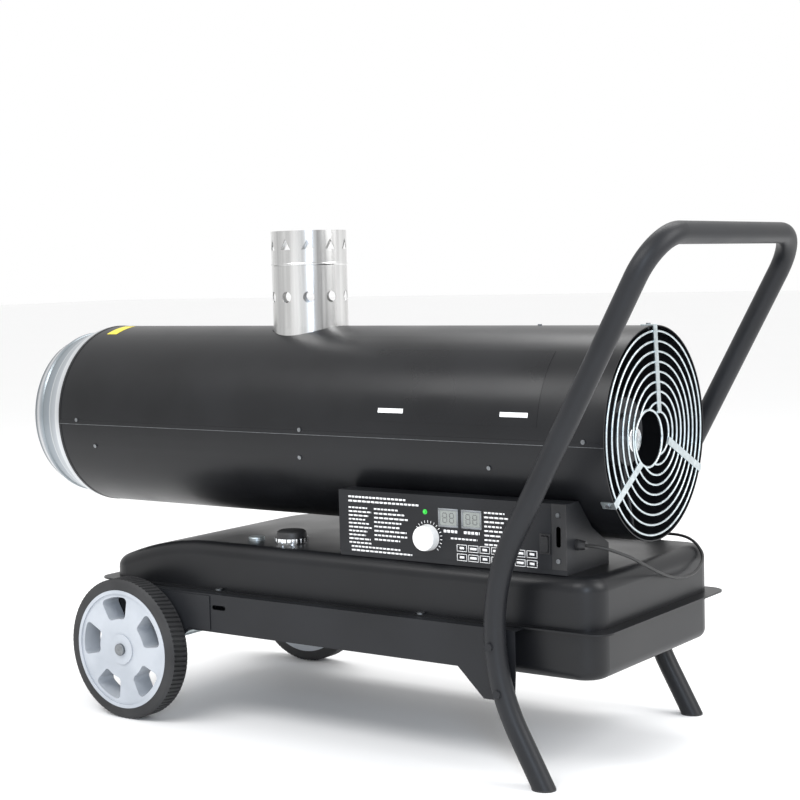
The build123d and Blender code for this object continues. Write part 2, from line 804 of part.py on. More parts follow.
with BuildPart() as tank_upper:
    add(tank_top_core(0))
    with BuildSketch(Plane.XY.offset(flange_height)):
        with Locations((tank_middle, 0)):
            RectangleRounded(flange_length, flange_width, flange_corner)
    extrude(amount=flange_wall)
    add(tank_top_core(tank_wall), mode=Mode.SUBTRACT)
    with BuildSketch(Plane.XY.offset(tank_top - 2 * tank_wall)):
        with Locations((filler_x, filler_y)):
            Circle(filler_radius + seat_gap)
        with Locations((gauge_x, gauge_y)):
            Circle(gauge_radius / 2 + seat_gap)
        with Locations((suction_x, suction_y)):
            Circle(line_radius + line_gap)
    extrude(amount=4 * tank_wall, mode=Mode.SUBTRACT)
    with Locations(*flange_screw_planes):
        Cylinder(screw_hole, 20, mode=Mode.SUBTRACT)
tank_upper.part.label = "tank_upper"
export_step(tank_upper.part, "parts/tank_upper.step")

with BuildPart() as tank_lower:
    add(tank_bottom_core(0))
    with BuildSketch(Plane.XY.offset(flange_height - flange_wall)):
        with Locations((tank_middle, 0)):
            RectangleRounded(flange_length, flange_width, flange_corner)
    extrude(amount=flange_wall)
    add(tank_bottom_core(tank_wall), mode=Mode.SUBTRACT)
    with BuildSketch(Plane.XY.offset(tank_bottom - tank_wall)):
        with Locations((drain_x, 0)):
            Circle(drain_radius + 0.1)
    extrude(amount=4 * tank_wall, mode=Mode.SUBTRACT)
    with Locations(*flange_screw_planes):
        Cylinder(screw_hole, 20, mode=Mode.SUBTRACT)
tank_lower.part.label = "tank_lower"
export_step(tank_lower.part, "parts/tank_lower.step")

with BuildPart() as tank_screws:
    with Locations(*flange_screw_planes):
        Cylinder(bolt_head, bolt_head_height - 2, align=seat)
        Cylinder(screw_shank, 2 * flange_wall + panel_wall + 3, align=hang)
tank_screws.part.label = "tank_screws"
export_step(tank_screws.part, "parts/tank_screws.step")

with BuildPart() as filler_neck:
    with BuildSketch(Plane.XY.offset(tank_top)):
        with Locations((filler_x, filler_y)):
            Circle(filler_radius + 5)
    extrude(amount=filler_wall)
    with BuildSketch(Plane.XY.offset(tank_top - 20)):
        with Locations((filler_x, filler_y)):
            Circle(filler_radius)
    extrude(amount=20 + filler_wall + filler_rise)
    with BuildSketch(Plane.XY.offset(tank_top - 20)):
        with Locations((filler_x, filler_y)):
            Circle(filler_radius - filler_wall)
    extrude(amount=40, mode=Mode.SUBTRACT)
filler_neck.part.label = "filler_neck"
export_step(filler_neck.part, "parts/filler_neck.step")

cap_floor = tank_top + filler_wall
with BuildPart() as fuel_cap:
    with BuildSketch(Plane.XY.offset(cap_floor)):
        with Locations((filler_x, filler_y)):
            Circle(cap_radius)
    extrude(amount=4)
    with BuildSketch(Plane.XY.offset(cap_floor + 4)):
        with Locations((filler_x, filler_y)):
            Circle(cap_band_radius)
    extrude(amount=cap_height - 4)
    fillet(fuel_cap.edges().filter_by(GeomType.CIRCLE).group_by(Axis.Z)[-1], 7)
    with BuildSketch(Plane.XY.offset(cap_floor)):
        with Locations((filler_x, filler_y)):
            Circle(filler_radius + seat_gap)
    extrude(amount=filler_rise + 2, mode=Mode.SUBTRACT)
fuel_cap.part.label = "fuel_cap"
export_step(fuel_cap.part, "parts/fuel_cap.step")

with BuildPart() as fuel_gauge:
    with BuildSketch(Plane.XY.offset(tank_top)):
        with Locations((gauge_x, gauge_y)):
            Circle(gauge_radius)
    extrude(amount=7)
    fillet(fuel_gauge.edges().filter_by(GeomType.CIRCLE).group_by(Axis.Z)[-1], 2)
    with BuildSketch(Plane.XY.offset(tank_top)):
        with Locations((gauge_x, gauge_y)):
            Circle(gauge_radius / 2)
    extrude(amount=-12)
    with BuildSketch(Plane.XY.offset(tank_top - 12)):
        with Locations((gauge_x, gauge_y)):
            Circle(3)
    extrude(amount=-120)
fuel_gauge.part.label = "fuel_gauge"
export_step(fuel_gauge.part, "parts/fuel_gauge.step")

with BuildPart() as drain_plug:
    with BuildSketch(Plane.XY.offset(tank_bottom)):
        with Locations((drain_x, 0)):
            RegularPolygon(drain_radius + 5, 6)
    extrude(amount=-8)
    with BuildSketch(Plane.XY.offset(tank_bottom)):
        with Locations((drain_x, 0)):
            Circle(drain_radius)
    extrude(amount=8)
drain_plug.part.label = "drain_plug"
export_step(drain_plug.part, "parts/drain_plug.step")

# Handle frame: one bent tube from foot to foot
lean = math.radians(tube_lean)
knee_centre_x = tube_knee_x + tube_knee_radius
knee_corner_x = knee_centre_x - tube_knee_radius / math.cos(lean)
foot_x = knee_corner_x + tube_knee_z * math.tan(lean)
handle_x = knee_corner_x + (tube_top - tube_knee_z) * math.tan(lean)
foot_slope = Vector(math.sin(lean), 0, -math.cos(lean))
bolt_points = []
for height in bolt_heights:
    bolt_x = knee_centre_x - math.sqrt(tube_knee_radius**2 - (height - tube_knee_z) ** 2)
    bolt_points.append((bolt_x, height))
panel_outer = tube_y - tube_radius - seat_gap / 3
with BuildPart() as handle_frame:
    with BuildLine():
        tube_path = FilletPolyline(
            Vector(foot_x, -tube_y, 0) + foot_slope * 15,
            (knee_corner_x, -tube_y, tube_knee_z),
            (handle_x, -tube_y, tube_top),
            (handle_x, tube_y, tube_top),
            (knee_corner_x, tube_y, tube_knee_z),
            Vector(foot_x, tube_y, 0) + foot_slope * 15,
            radius=[tube_knee_radius, tube_corner, tube_corner, tube_knee_radius],
        )
    with BuildSketch(Plane(origin=tube_path @ 0, z_dir=tube_path % 0)):
        Circle(tube_radius)
        Circle(tube_radius - tube_wall, mode=Mode.SUBTRACT)
    sweep(path=tube_path)
    split(bisect_by=Plane.XY.offset(plug_head), keep=Keep.TOP)
    for x, z in bolt_points:
        for side in (-1, 1):
            with Locations(Plane(origin=(x, side * tube_y, z), z_dir=(0, 1, 0))):
                Cylinder(bolt_hole, 3 * tube_radius, mode=Mode.SUBTRACT)
handle_frame.part.label = "handle_frame"
export_step(handle_frame.part, "parts/handle_frame.step")

plug_x = foot_x - plug_head * math.tan(lean)
with BuildPart() as foot_plugs:
    for side in (-1, 1):
        stem_start = Vector(foot_x, side * tube_y, 0) + foot_slope * 5
        with BuildSketch(Plane(origin=stem_start, z_dir=-foot_slope)):
            Circle(tube_radius - tube_wall - seat_gap)
        extrude(amount=30)
    split(bisect_by=Plane.XY.offset(plug_head), keep=Keep.TOP)
    with BuildSketch(Plane.XY):
        for side in (-1, 1):
            with Locations((plug_x, side * tube_y)):
                Ellipse(tube_radius / math.cos(lean), tube_radius)
    extrude(amount=plug_head)
foot_plugs.part.label = "foot_plugs"
export_step(foot_plugs.part, "parts/foot_plugs.step")

with BuildPart() as handle_bolts:
    for x, z in bolt_points:
        for side in (-1, 1):
            outside = Plane(origin=(x, side * (tube_y + tube_radius), z), z_dir=(0, side, 0))
            inside = Plane(origin=(x, side * (panel_outer - panel_wall), z), z_dir=(0, -side, 0))
            with Locations(outside):
                Cylinder(bolt_head, bolt_head_height, align=seat)
                Cylinder(bolt_shank, 2 * tube_radius + panel_wall + 8, align=hang)
            with BuildSketch(inside):
                RegularPolygon(bolt_head, 6)
            extrude(amount=bolt_head_height)
handle_bolts.part.label = "handle_bolts"
export_step(handle_bolts.part, "parts/handle_bolts.step")

# Side panels under the tank flange, each with an axle bracket on its outer face
panel_top = flange_height - flange_wall
axle_outline = [
    (panel_front, panel_top),
    (panel_front, axle_z + 10),
    (axle_x - 45, axle_lobe_bottom),
    (axle_x + 45, axle_lobe_bottom),
    (axle_x + 141, panel_bottom),
]
gusset_front = tube_knee_x - 90
gusset_outline = [
    (gusset_front, panel_bottom),
    (gusset_front + 53, gusset_bottom),
    (panel_rear - 3, gusset_bottom),
    (panel_rear, panel_bottom),
    (panel_rear, panel_top),
]
panel_middle = (panel_front + panel_rear) / 2
bracket_front = axle_x - 64
bracket_rear = axle_x + 196
bracket_top = panel_top - 3
bracket_outer = panel_outer + panel_wall
for side, name in ((-1, "left"), (1, "right")):
    with BuildPart() as side_panel:
        with BuildSketch(Plane(origin=(0, side * panel_outer, 0), x_dir=(1, 0, 0), z_dir=(0, -1, 0))):
            Polygon(*axle_outline, *gusset_outline, align=None)
            with Locations((axle_x + 218, panel_top - 25)):
                SlotOverall(34, 9, mode=Mode.SUBTRACT)
            with Locations((axle_x, axle_z)):
                Circle(axle_radius + 0.05, mode=Mode.SUBTRACT)
        extrude(amount=side * panel_wall)
        with BuildSketch(Plane.XY.offset(panel_top)):
            with Locations((panel_middle, side * (panel_outer + tank_half_width + 1) / 2)):
                Rectangle(panel_rear - panel_front, panel_outer - tank_half_width - 1)
        extrude(amount=-panel_wall)
        with Locations(*flange_screw_planes):
            Cylinder(screw_hole, 20, mode=Mode.SUBTRACT)
        for x, z in bolt_points:
            with Locations(Plane(origin=(x, side * panel_outer, z), z_dir=(0, 1, 0))):
                Cylinder(bolt_hole, 10, mode=Mode.SUBTRACT)
    side_panel.part.label = f"{name}_side_panel"
    export_step(side_panel.part, f"parts/{name}_side_panel.step")

    with BuildPart() as axle_bracket:
        with BuildSketch(Plane(origin=(0, side * panel_outer, 0), x_dir=(1, 0, 0), z_dir=(0, -1, 0))):
            Polygon(
                (bracket_front, bracket_top),
                (bracket_front, axle_z),
                (axle_x - 30, axle_lobe_bottom + 3),
                (axle_x + 30, axle_lobe_bottom + 3),
                (axle_x + 139, panel_bottom + 4),
                (bracket_rear, panel_bottom + 4),
                (bracket_rear, bracket_top),
                align=None,
            )
            with Locations((axle_x, axle_z)):
                Circle(axle_radius + 0.05, mode=Mode.SUBTRACT)
        extrude(amount=-side * panel_wall)
    axle_bracket.part.label = f"{name}_axle_bracket"
    export_step(axle_bracket.part, f"parts/{name}_axle_bracket.step")

# Axle with a collar beside each bracket, and the caps on its ends
wheel_inner = wheel_face - wheel_width
axle_end = wheel_face + 3
cap_outer_radius = 12
with BuildPart() as axle:
    with BuildSketch(Plane(origin=(axle_x, -axle_end, axle_z), z_dir=(0, 1, 0))):
        Circle(axle_radius)
    extrude(amount=2 * axle_end)
    for side in (-1, 1):
        with BuildSketch(Plane(origin=(axle_x, side * bracket_outer, axle_z), z_dir=(0, side, 0))):
            Circle(axle_radius + 7)
        extrude(amount=wheel_inner - bracket_outer - 0.2)
axle.part.label = "axle"
export_step(axle.part, "parts/axle.step")

with BuildPart() as axle_caps:
    for side in (-1, 1):
        with BuildSketch(Plane(origin=(axle_x, side * (wheel_face + seat_gap), axle_z), z_dir=(0, side, 0))):
            Circle(cap_outer_radius)
        extrude(amount=6)
    fillet(axle_caps.edges().filter_by(GeomType.CIRCLE).group_by(Axis.Y)[0], 2)
    fillet(axle_caps.edges().filter_by(GeomType.CIRCLE).group_by(Axis.Y)[-1], 2)
    with BuildSketch(Plane(origin=(axle_x, -axle_end, axle_z), z_dir=(0, 1, 0))):
        Circle(axle_radius)
    extrude(amount=2 * axle_end, mode=Mode.SUBTRACT)
axle_caps.part.label = "axle_caps"
export_step(axle_caps.part, "parts/axle_caps.step")

# Wheels with five windows, and their tyres with ribs across the tread
for side, name in ((-1, "left"), (1, "right")):
    wheel_plane = Plane(origin=(axle_x, side * wheel_face, axle_z), x_dir=(-side, 0, 0), z_dir=(0, side, 0))
    with BuildPart() as wheel:
        with BuildSketch(wheel_plane):
            Circle(rim_radius)
            Circle(axle_radius + axle_gap, mode=Mode.SUBTRACT)
        extrude(amount=-wheel_width)
        with BuildSketch(wheel_plane):
            Circle(rim_radius - 7)
            Circle(hub_radius, mode=Mode.SUBTRACT)
        extrude(amount=-3, mode=Mode.SUBTRACT)
        for i in range(window_count):
            middle = 28 + 360 / window_count * i
            edge_points = []
            for turn in (middle - window_half_angle, middle + window_half_angle):
                edge_points.append((180 * math.cos(math.radians(turn)), 180 * math.sin(math.radians(turn))))
            with BuildSketch(wheel_plane) as window:
                Circle(window_outer)
                Circle(window_inner, mode=Mode.SUBTRACT)
                Polygon((0, 0), *edge_points, align=None, mode=Mode.INTERSECT)
                fillet(window.vertices(), 9)
            extrude(amount=-wheel_width, mode=Mode.SUBTRACT)
    wheel.part.label = f"{name}_wheel"
    export_step(wheel.part, f"parts/{name}_wheel.step")

    tread = wheel_width - 2
    with BuildPart() as tyre:
        with BuildSketch(wheel_plane.offset(-1)):
            Circle(wheel_radius)
            Circle(rim_radius, mode=Mode.SUBTRACT)
        extrude(amount=-tread)
        rims = tyre.edges().filter_by(GeomType.CIRCLE)
        fillet([e for e in rims if e.radius > wheel_radius - 1], 4)
    tyre.part.label = f"{name}_tyre"
    export_step(tyre.part, f"parts/{name}_tyre.step")

# Saddles between the tank and the barrel
for x, name in zip(saddle_xs, ("front", "rear")):
    with BuildPart() as saddle:
        for inset, mode in ((0, Mode.ADD), (saddle_wall, Mode.SUBTRACT)):
            with BuildSketch(Plane(origin=(x - saddle_length / 2, 0, 0), x_dir=(0, 1, 0), z_dir=(1, 0, 0))):
                with Locations((0, tank_top + inset)):
                    Rectangle(2 * (saddle_half_width - inset), barrel_height - tank_top, align=(Align.CENTER, Align.MIN))
                with Locations((0, barrel_height)):
                    Circle(barrel_radius + seat_gap / 3 + inset, mode=Mode.SUBTRACT)
            extrude(amount=saddle_length, mode=mode)
    saddle.part.label = f"{name}_saddle"
    export_step(saddle.part, f"parts/{name}_saddle.step")

# Control box: a bent case with an open face, closed by the panel and a dark end strip
box_length = box_rear - box_front
case_face = box_face + panel_thickness
case_profile = [
    (case_face, box_floor),
    (case_face, box_top),
    (case_face + 43, box_top),
    (-120, 423),
    (box_back, 388),
    (box_back, box_floor),
]
lip = 8
panel_floor = box_floor + 9
with BuildPart() as control_box:
    with BuildSketch(barrel_plane(box_front)):
        with Locations((0, -barrel_height)):
            Polygon(*case_profile, align=None)
    extrude(amount=box_length)
    with BuildSketch(barrel_plane(box_front + box_wall)):
        with Locations((0, -barrel_height)):
            Polygon(*case_profile, align=None)
        offset(amount=-box_wall, kind=Kind.INTERSECTION)
    extrude(amount=box_length - 2 * box_wall, mode=Mode.SUBTRACT)
    with BuildSketch(Plane(origin=(0, case_face, 0), x_dir=(1, 0, 0), z_dir=(0, -1, 0))):
        with Locations(((box_front + box_rear) / 2, (panel_floor + box_top) / 2)):
            Rectangle(box_length - 2 * lip, box_top - panel_floor - 2 * lip)
    extrude(amount=-2 * box_wall, mode=Mode.SUBTRACT)
    with BuildSketch(Plane(origin=(box_rear, gland_y, gland_z), x_dir=(0, 1, 0), z_dir=(1, 0, 0))):
        Circle(gland_radius - 2)
    extrude(amount=-2 * box_wall, mode=Mode.SUBTRACT)
control_box.part.label = "control_box"
export_step(control_box.part, "parts/control_box.step")

front_plane = Plane(origin=(0, box_face, 0), x_dir=(1, 0, 0), z_dir=(0, -1, 0))
cover_front = cover_x - cover_width / 2
panel_rear_edge = cover_front - 0.5
with BuildPart() as control_panel:
    with BuildSketch(front_plane):
        with Locations(((box_front + panel_rear_edge) / 2, (panel_floor + box_top) / 2)):
            Rectangle(panel_rear_edge - box_front, box_top - panel_floor)
        with Locations((dial_x, dial_z)):
            Circle(dial_shaft_radius + shaft_gap, mode=Mode.SUBTRACT)
        with Locations((lamp_x, lamp_z)):
            Circle(lamp_radius, mode=Mode.SUBTRACT)
        with Locations(*display_centres):
            Rectangle(display_size, display_height, mode=Mode.SUBTRACT)
        with Locations((switch_x, switch_z)):
            Rectangle(switch_width, switch_height, mode=Mode.SUBTRACT)
    extrude(amount=-panel_thickness)
control_panel.part.label = "control_panel"
export_step(control_panel.part, "parts/control_panel.step")

cover_screw_points = [(cover_x, box_top - 19), (cover_x, panel_floor + 15)]
with BuildPart() as panel_end_cap:
    with BuildSketch(front_plane):
        with Locations((cover_x + (box_rear - cover_x - cover_width / 2) / 2, (panel_floor + box_top) / 2)):
            Rectangle(box_rear - cover_front, box_top - panel_floor)
        with Locations((cover_x, (panel_floor + box_top) / 2)):
            SlotOverall(36, 9, rotation=90, mode=Mode.SUBTRACT)
        with Locations(*cover_screw_points):
            Circle(screw_hole, mode=Mode.SUBTRACT)
    extrude(amount=-panel_thickness)
panel_end_cap.part.label = "panel_end_cap"
export_step(panel_end_cap.part, "parts/panel_end_cap.step")

with BuildPart() as panel_screws:
    for x, z in cover_screw_points:
        with Locations(Plane(origin=(x, box_face, z), z_dir=(0, -1, 0))):
            Cylinder(screw_head, screw_head_height, align=seat)
            Cylinder(screw_shank, screw_length + 2, align=hang)
panel_screws.part.label = "panel_screws"
export_step(panel_screws.part, "parts/panel_screws.step")

with BuildPart() as thermostat_dial:
    with BuildSketch(front_plane.offset(seat_gap)):
        with Locations((dial_x, dial_z)):
            Circle(dial_radius)
    extrude(amount=dial_depth - seat_gap, taper=6)
    fillet(thermostat_dial.edges().filter_by(GeomType.CIRCLE).group_by(Axis.Y)[0], 2.5)
    with BuildSketch(front_plane.offset(dial_depth)):
        with Locations((dial_x, dial_z + dial_radius / 2)):
            Rectangle(3, dial_radius * 0.6)
    extrude(amount=-2, mode=Mode.SUBTRACT)
    with BuildSketch(front_plane.offset(seat_gap)):
        with Locations((dial_x, dial_z)):
            Circle(dial_shaft_radius)
    extrude(amount=-panel_thickness - 12)
thermostat_dial.part.label = "thermostat_dial"
export_step(thermostat_dial.part, "parts/thermostat_dial.step")

with BuildPart() as displays:
    with BuildSketch(front_plane):
        with Locations(*display_centres):
            Rectangle(display_size + 2, display_height + 2)
    extrude(amount=1)
    with BuildSketch(front_plane):
        with Locations(*display_centres):
            Rectangle(display_size - 4, display_height - 4)
    extrude(amount=-12)
    with BuildSketch(front_plane.offset(1)):
        with Locations(*display_centres):
            Rectangle(display_size - 5, display_height - 5)
    extrude(amount=-0.5, mode=Mode.SUBTRACT)
displays.part.label = "displays"
export_step(displays.part, "parts/displays.step")

with BuildPart() as status_lamp:
    with BuildSketch(front_plane):
        with Locations((lamp_x, lamp_z)):
            Circle(lamp_radius + 1.5)
    extrude(amount=1)
    with BuildSketch(front_plane.offset(1)):
        with Locations((lamp_x, lamp_z)):
            Circle(lamp_radius)
    extrude(amount=2, taper=20)
    with BuildSketch(front_plane):
        with Locations((lamp_x, lamp_z)):
            Circle(lamp_radius - 0.3)
    extrude(amount=-8)
status_lamp.part.label = "status_lamp"
export_step(status_lamp.part, "parts/status_lamp.step")

# Rocker switch: a frame in the panel and a key that tilts about a cross pin
bezel_wall = 1.5
key_width = switch_width - 2 * bezel_wall - 1
key_height = switch_height - 2 * bezel_wall - 2
key_rise = 5
with BuildPart() as switch_bezel:
    with BuildSketch(front_plane):
        with Locations((switch_x, switch_z)):
            Rectangle(switch_width + 3, switch_height + 3)
            Rectangle(switch_width - 2 * bezel_wall, switch_height - 2 * bezel_wall, mode=Mode.SUBTRACT)
    extrude(amount=2)
    with BuildSketch(front_plane):
        with Locations((switch_x, switch_z)):
            Rectangle(switch_width, switch_height)
            Rectangle(switch_width - 2 * bezel_wall, switch_height - 2 * bezel_wall, mode=Mode.SUBTRACT)
    extrude(amount=-10)
    with BuildSketch(Plane(origin=(switch_x, box_face + 2, switch_z), x_dir=(0, 1, 0), z_dir=(1, 0, 0))):
        Circle(1.5)
    extrude(amount=switch_width / 2 - 0.5, both=True)
switch_bezel.part.label = "switch_bezel"
export_step(switch_bezel.part, "parts/switch_bezel.step")

with BuildPart() as rocker_switch:
    with BuildSketch(Plane(origin=(switch_x, box_face, switch_z), x_dir=(0, -1, 0), z_dir=(-1, 0, 0))):
        Polygon(
            (-4.5, -4),
            (2.5, -key_height / 2),
            (key_rise + 0.6, -key_height / 2),
            (key_rise - 1.5, 0),
            (key_rise + 0.6, key_height / 2),
            (2.5, key_height / 2),
            (-4.5, 4),
            align=None,
        )
        with Locations((-2, 0)):
            Circle(1.5 + shaft_gap, mode=Mode.SUBTRACT)
    extrude(amount=key_width / 2, both=True)
rocker_switch.part.label = "rocker_switch"
export_step(rocker_switch.part, "parts/rocker_switch.step")

# Electronics inside the box
board_y = case_face + 22
with BuildPart() as control_board:
    with BuildSketch(Plane(origin=(board_x, board_y, board_z), x_dir=(1, 0, 0), z_dir=(0, -1, 0))):
        Rectangle(board_length, board_width)
    extrude(amount=1.6)
    with BuildSketch(Plane(origin=(board_x, board_y - 1.6, board_z), x_dir=(1, 0, 0), z_dir=(0, -1, 0))):
        with GridLocations(board_length - 2 * board_inset, board_width - 2 * board_inset, 2, 2):
            Circle(3)
    extrude(amount=board_y - 1.6 - case_face)
control_board.part.label = "control_board"
export_step(control_board.part, "parts/control_board.step")

with BuildPart() as ignition_transformer:
    with BuildSketch(Plane.XY.offset(box_floor + box_wall)):
        with Locations((140, -130)):
            Rectangle(80, 60)
    extrude(amount=46)
    fillet(ignition_transformer.edges().filter_by(Axis.Z), 4)
ignition_transformer.part.label = "ignition_transformer"
export_step(ignition_transformer.part, "parts/ignition_transformer.step")

# Mains lead: gland, free stretch, coil and plug
with BuildPart() as cable_gland:
    with BuildSketch(Plane(origin=(box_rear, gland_y, gland_z), x_dir=(0, 1, 0), z_dir=(1, 0, 0))):
        RegularPolygon(gland_radius + 1, 6)
    extrude(amount=6)
    with BuildSketch(Plane(origin=(box_rear + 6, gland_y, gland_z), x_dir=(0, 1, 0), z_dir=(1, 0, 0))):
        Circle(gland_radius)
    extrude(amount=gland_length - 6, taper=10)
    with BuildSketch(Plane(origin=(box_rear, gland_y, gland_z), x_dir=(0, 1, 0), z_dir=(1, 0, 0))):
        Circle(gland_radius - 2.2)
    extrude(amount=-12)
cable_gland.part.label = "cable_gland"
export_step(cable_gland.part, "parts/cable_gland.step")

coil_low = tank_top + cord_radius + coil_clearance
coil_high = coil_low + coil_pitch
cord_end_x = coil_x + 2 * cord_radius
cord_points = [
    (box_rear + gland_length, gland_y, gland_z),
    (600, gland_y, gland_z),
    (621, -152, 389),
    (631, -118, 375),
    (636, -76, 355),
    (637, -24, 333),
    (636, 30, 316),
    (634, 86, 309),
    (631, 136, 312),
    (628, 171, 334),
    (601, 181, 362),
    (558, 188, 369),
    (510, 193, 362),
    (450, 186, 356),
    (385, coil_y + coil_outer, coil_low),
    (cord_end_x, coil_y + coil_outer, coil_low),
]
cord_radii = []
for before, point, after in zip(cord_points, cord_points[1:], cord_points[2:]):
    arriving = Vector(*point) - Vector(*before)
    leaving = Vector(*after) - Vector(*point)
    half_turn = math.radians(arriving.get_angle(leaving)) / 2
    cord_radii.append(0.45 * min(arriving.length, leaving.length) / math.tan(half_turn))
print("cord radii", [round(radius, 1) for radius in cord_radii])
with BuildPart() as power_cord:
    with BuildLine():
        cord_path = FilletPolyline(*cord_points, radius=cord_radii)
    with BuildSketch(Plane(origin=cord_path @ 0, z_dir=cord_path % 0)):
        Circle(cord_radius)
    sweep(path=cord_path)
cord_section = math.pi * cord_radius**2
cord_share = power_cord.part.volume / cord_section / cord_path.length
print("cord length", round(cord_path.length, 1), "volume share", round(cord_share, 4))
power_cord.part.label = "power_cord"
export_step(power_cord.part, "parts/power_cord.step")


def coil_point(turns):
    """Point of the coil's centre line after a number of turns: in, a climb, and out again."""
    climb = min(max((turns - coil_turns) / 0.5, 0), 1)
    inward = coil_turns + 0.25 - abs(turns - coil_turns - 0.25)
    radius = coil_outer - coil_pitch * inward
    height = coil_low + (coil_high - coil_low) * (1 - math.cos(math.pi * climb)) / 2
    turn = 2 * math.pi * (turns + 0.25)
    return Vector(coil_x + radius * math.cos(turn), coil_y + radius * math.sin(turn), height)


def coil_direction(turns):
    return (coil_point(turns + 0.01) - coil_point(turns - 0.01)).normalized()


whole_turns = 2 * coil_turns + 0.5
quarters = int(round(4 * whole_turns))
coil_start = Vector(cord_end_x, coil_y + coil_outer, coil_low)
with BuildPart() as cord_coil:
    with BuildLine() as coil_line:
        Line(coil_start, coil_point(0))
        for i in range(quarters):
            start, end = coil_point(i / 4), coil_point((i + 1) / 4)
            start_way = Vector(-1, 0, 0) if i == 0 else coil_direction(i / 4)
            end_way = Vector(1, 0, 0) if i == quarters - 1 else coil_direction((i + 1) / 4)
            chord = end - start
            square = 2 * (1 - start_way.dot(end_way))
            linear = 2 * chord.dot(start_way + end_way)
            reach = (-linear + math.sqrt(linear**2 + 4 * square * chord.dot(chord))) / (2 * square)
            near, far = start + start_way * reach, end - end_way * reach
            joint = (near + far) / 2
            TangentArc(start, joint, tangent=start_way)
            TangentArc(joint, end, tangent=far - near)
        Line(coil_point(whole_turns), coil_point(whole_turns) + Vector(coil_tail, 0, 0))
    coil_path = coil_line.wires()[0]
    with BuildSketch(Plane(origin=coil_path @ 0, z_dir=coil_path % 0)):
        Circle(cord_radius)
    sweep(path=coil_path)
samples = [coil_path @ (i / 900) for i in range(901)]
gaps = []
for i, point in enumerate(samples):
    for other in samples[i + 30:]:
        gaps.append((point - other).length)
print("coil length", round(coil_path.length, 1), "least gap", round(min(gaps) - 2 * cord_radius, 3))
print("coil volume share", round(cord_coil.part.volume / cord_section / coil_path.length, 4))
cord_coil.part.label = "cord_coil"
export_step(cord_coil.part, "parts/cord_coil.step")

# Flat moulded plug with two round pins, lying on the tank
plug_start = coil_point(whole_turns) + Vector(coil_tail, 0, 0)
with BuildPart() as plug:
    with BuildSketch(Plane(origin=plug_start, x_dir=(0, 1, 0), z_dir=(1, 0, 0))):
        Circle(cord_radius + 1.5)
    extrude(amount=10)
    with BuildSketch(Plane(origin=plug_start + Vector(8, 0, 0), x_dir=(0, 1, 0), z_dir=(1, 0, 0))):
        RectangleRounded(plug_width, plug_thickness, plug_thickness / 2 - 0.5)
    extrude(amount=plug_length - 8)
    with BuildSketch(Plane(origin=plug_start + Vector(plug_length, 0, 0), x_dir=(0, 1, 0), z_dir=(1, 0, 0))):
        with Locations((-9.5, 0), (9.5, 0)):
            Circle(2.4)
    extrude(amount=19)
plug.part.label = "plug"
export_step(plug.part, "parts/plug.step")
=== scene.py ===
import json
import math

import bmesh
import bpy
from mathutils import Matrix, Vector


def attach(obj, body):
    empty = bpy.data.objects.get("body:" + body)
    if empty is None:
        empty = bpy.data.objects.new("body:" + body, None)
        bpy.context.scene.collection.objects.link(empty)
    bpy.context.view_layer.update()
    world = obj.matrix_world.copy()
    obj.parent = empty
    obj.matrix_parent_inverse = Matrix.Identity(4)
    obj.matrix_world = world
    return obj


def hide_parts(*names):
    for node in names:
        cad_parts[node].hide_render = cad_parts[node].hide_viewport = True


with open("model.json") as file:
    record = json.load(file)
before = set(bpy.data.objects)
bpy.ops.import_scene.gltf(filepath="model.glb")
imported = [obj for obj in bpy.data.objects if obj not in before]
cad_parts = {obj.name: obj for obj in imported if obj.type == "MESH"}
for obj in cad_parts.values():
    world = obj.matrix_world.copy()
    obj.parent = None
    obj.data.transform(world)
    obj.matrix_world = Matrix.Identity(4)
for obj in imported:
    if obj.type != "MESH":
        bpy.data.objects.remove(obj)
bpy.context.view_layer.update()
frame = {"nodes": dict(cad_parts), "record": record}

nodes = frame["nodes"]

# Sizes in metres, in the CAD frame
barrel = {"radius": 0.190, "height": 0.578, "front": -0.686, "rear": 0.619}
axle = {"x": -0.4063, "z": 0.140}
panelFace = -0.210
print("frame loaded")


# Camera at the photograph's viewpoint, angles in degrees
viewpoint = {
    "place": (1.9968, -2.6937, 0.8809),
    "azimuth": 35.626,
    "pitch": 4.449,
    "roll": 1.471,
    "lens": 76.82,
}


def makeCamera():
    azimuth, pitch, roll = (math.radians(viewpoint[key]) for key in ("azimuth", "pitch", "roll"))
    level = math.cos(pitch)
    forward = Vector((-math.sin(azimuth) * level, math.cos(azimuth) * level, -math.sin(pitch)))
    side = Vector((math.cos(azimuth), math.sin(azimuth), 0))
    up = side.cross(forward)
    rolledSide = math.cos(roll) * side - math.sin(roll) * up
    rolledUp = math.sin(roll) * side + math.cos(roll) * up
    turn = Matrix((rolledSide, rolledUp, -forward)).transposed()
    lens = bpy.data.cameras.new("photoCamera")
    lens.sensor_width = 36
    lens.lens = viewpoint["lens"]
    lens.clip_end = 60
    camera = bpy.data.objects.new("photoCamera", lens)
    camera.matrix_world = Matrix.Translation(viewpoint["place"]) @ turn.to_4x4()
    bpy.context.scene.collection.objects.link(camera)
    bpy.context.scene.camera = camera


makeCamera()


# Materials
def newMaterial(name, roughness, metallic=0.0):
    material = bpy.data.materials.new(name)
    material.use_nodes = True
    shader = material.node_tree.nodes["Principled BSDF"]
    shader.inputs["Roughness"].default_value = roughness
    shader.inputs["Metallic"].default_value = metallic
    return material, material.node_tree, shader


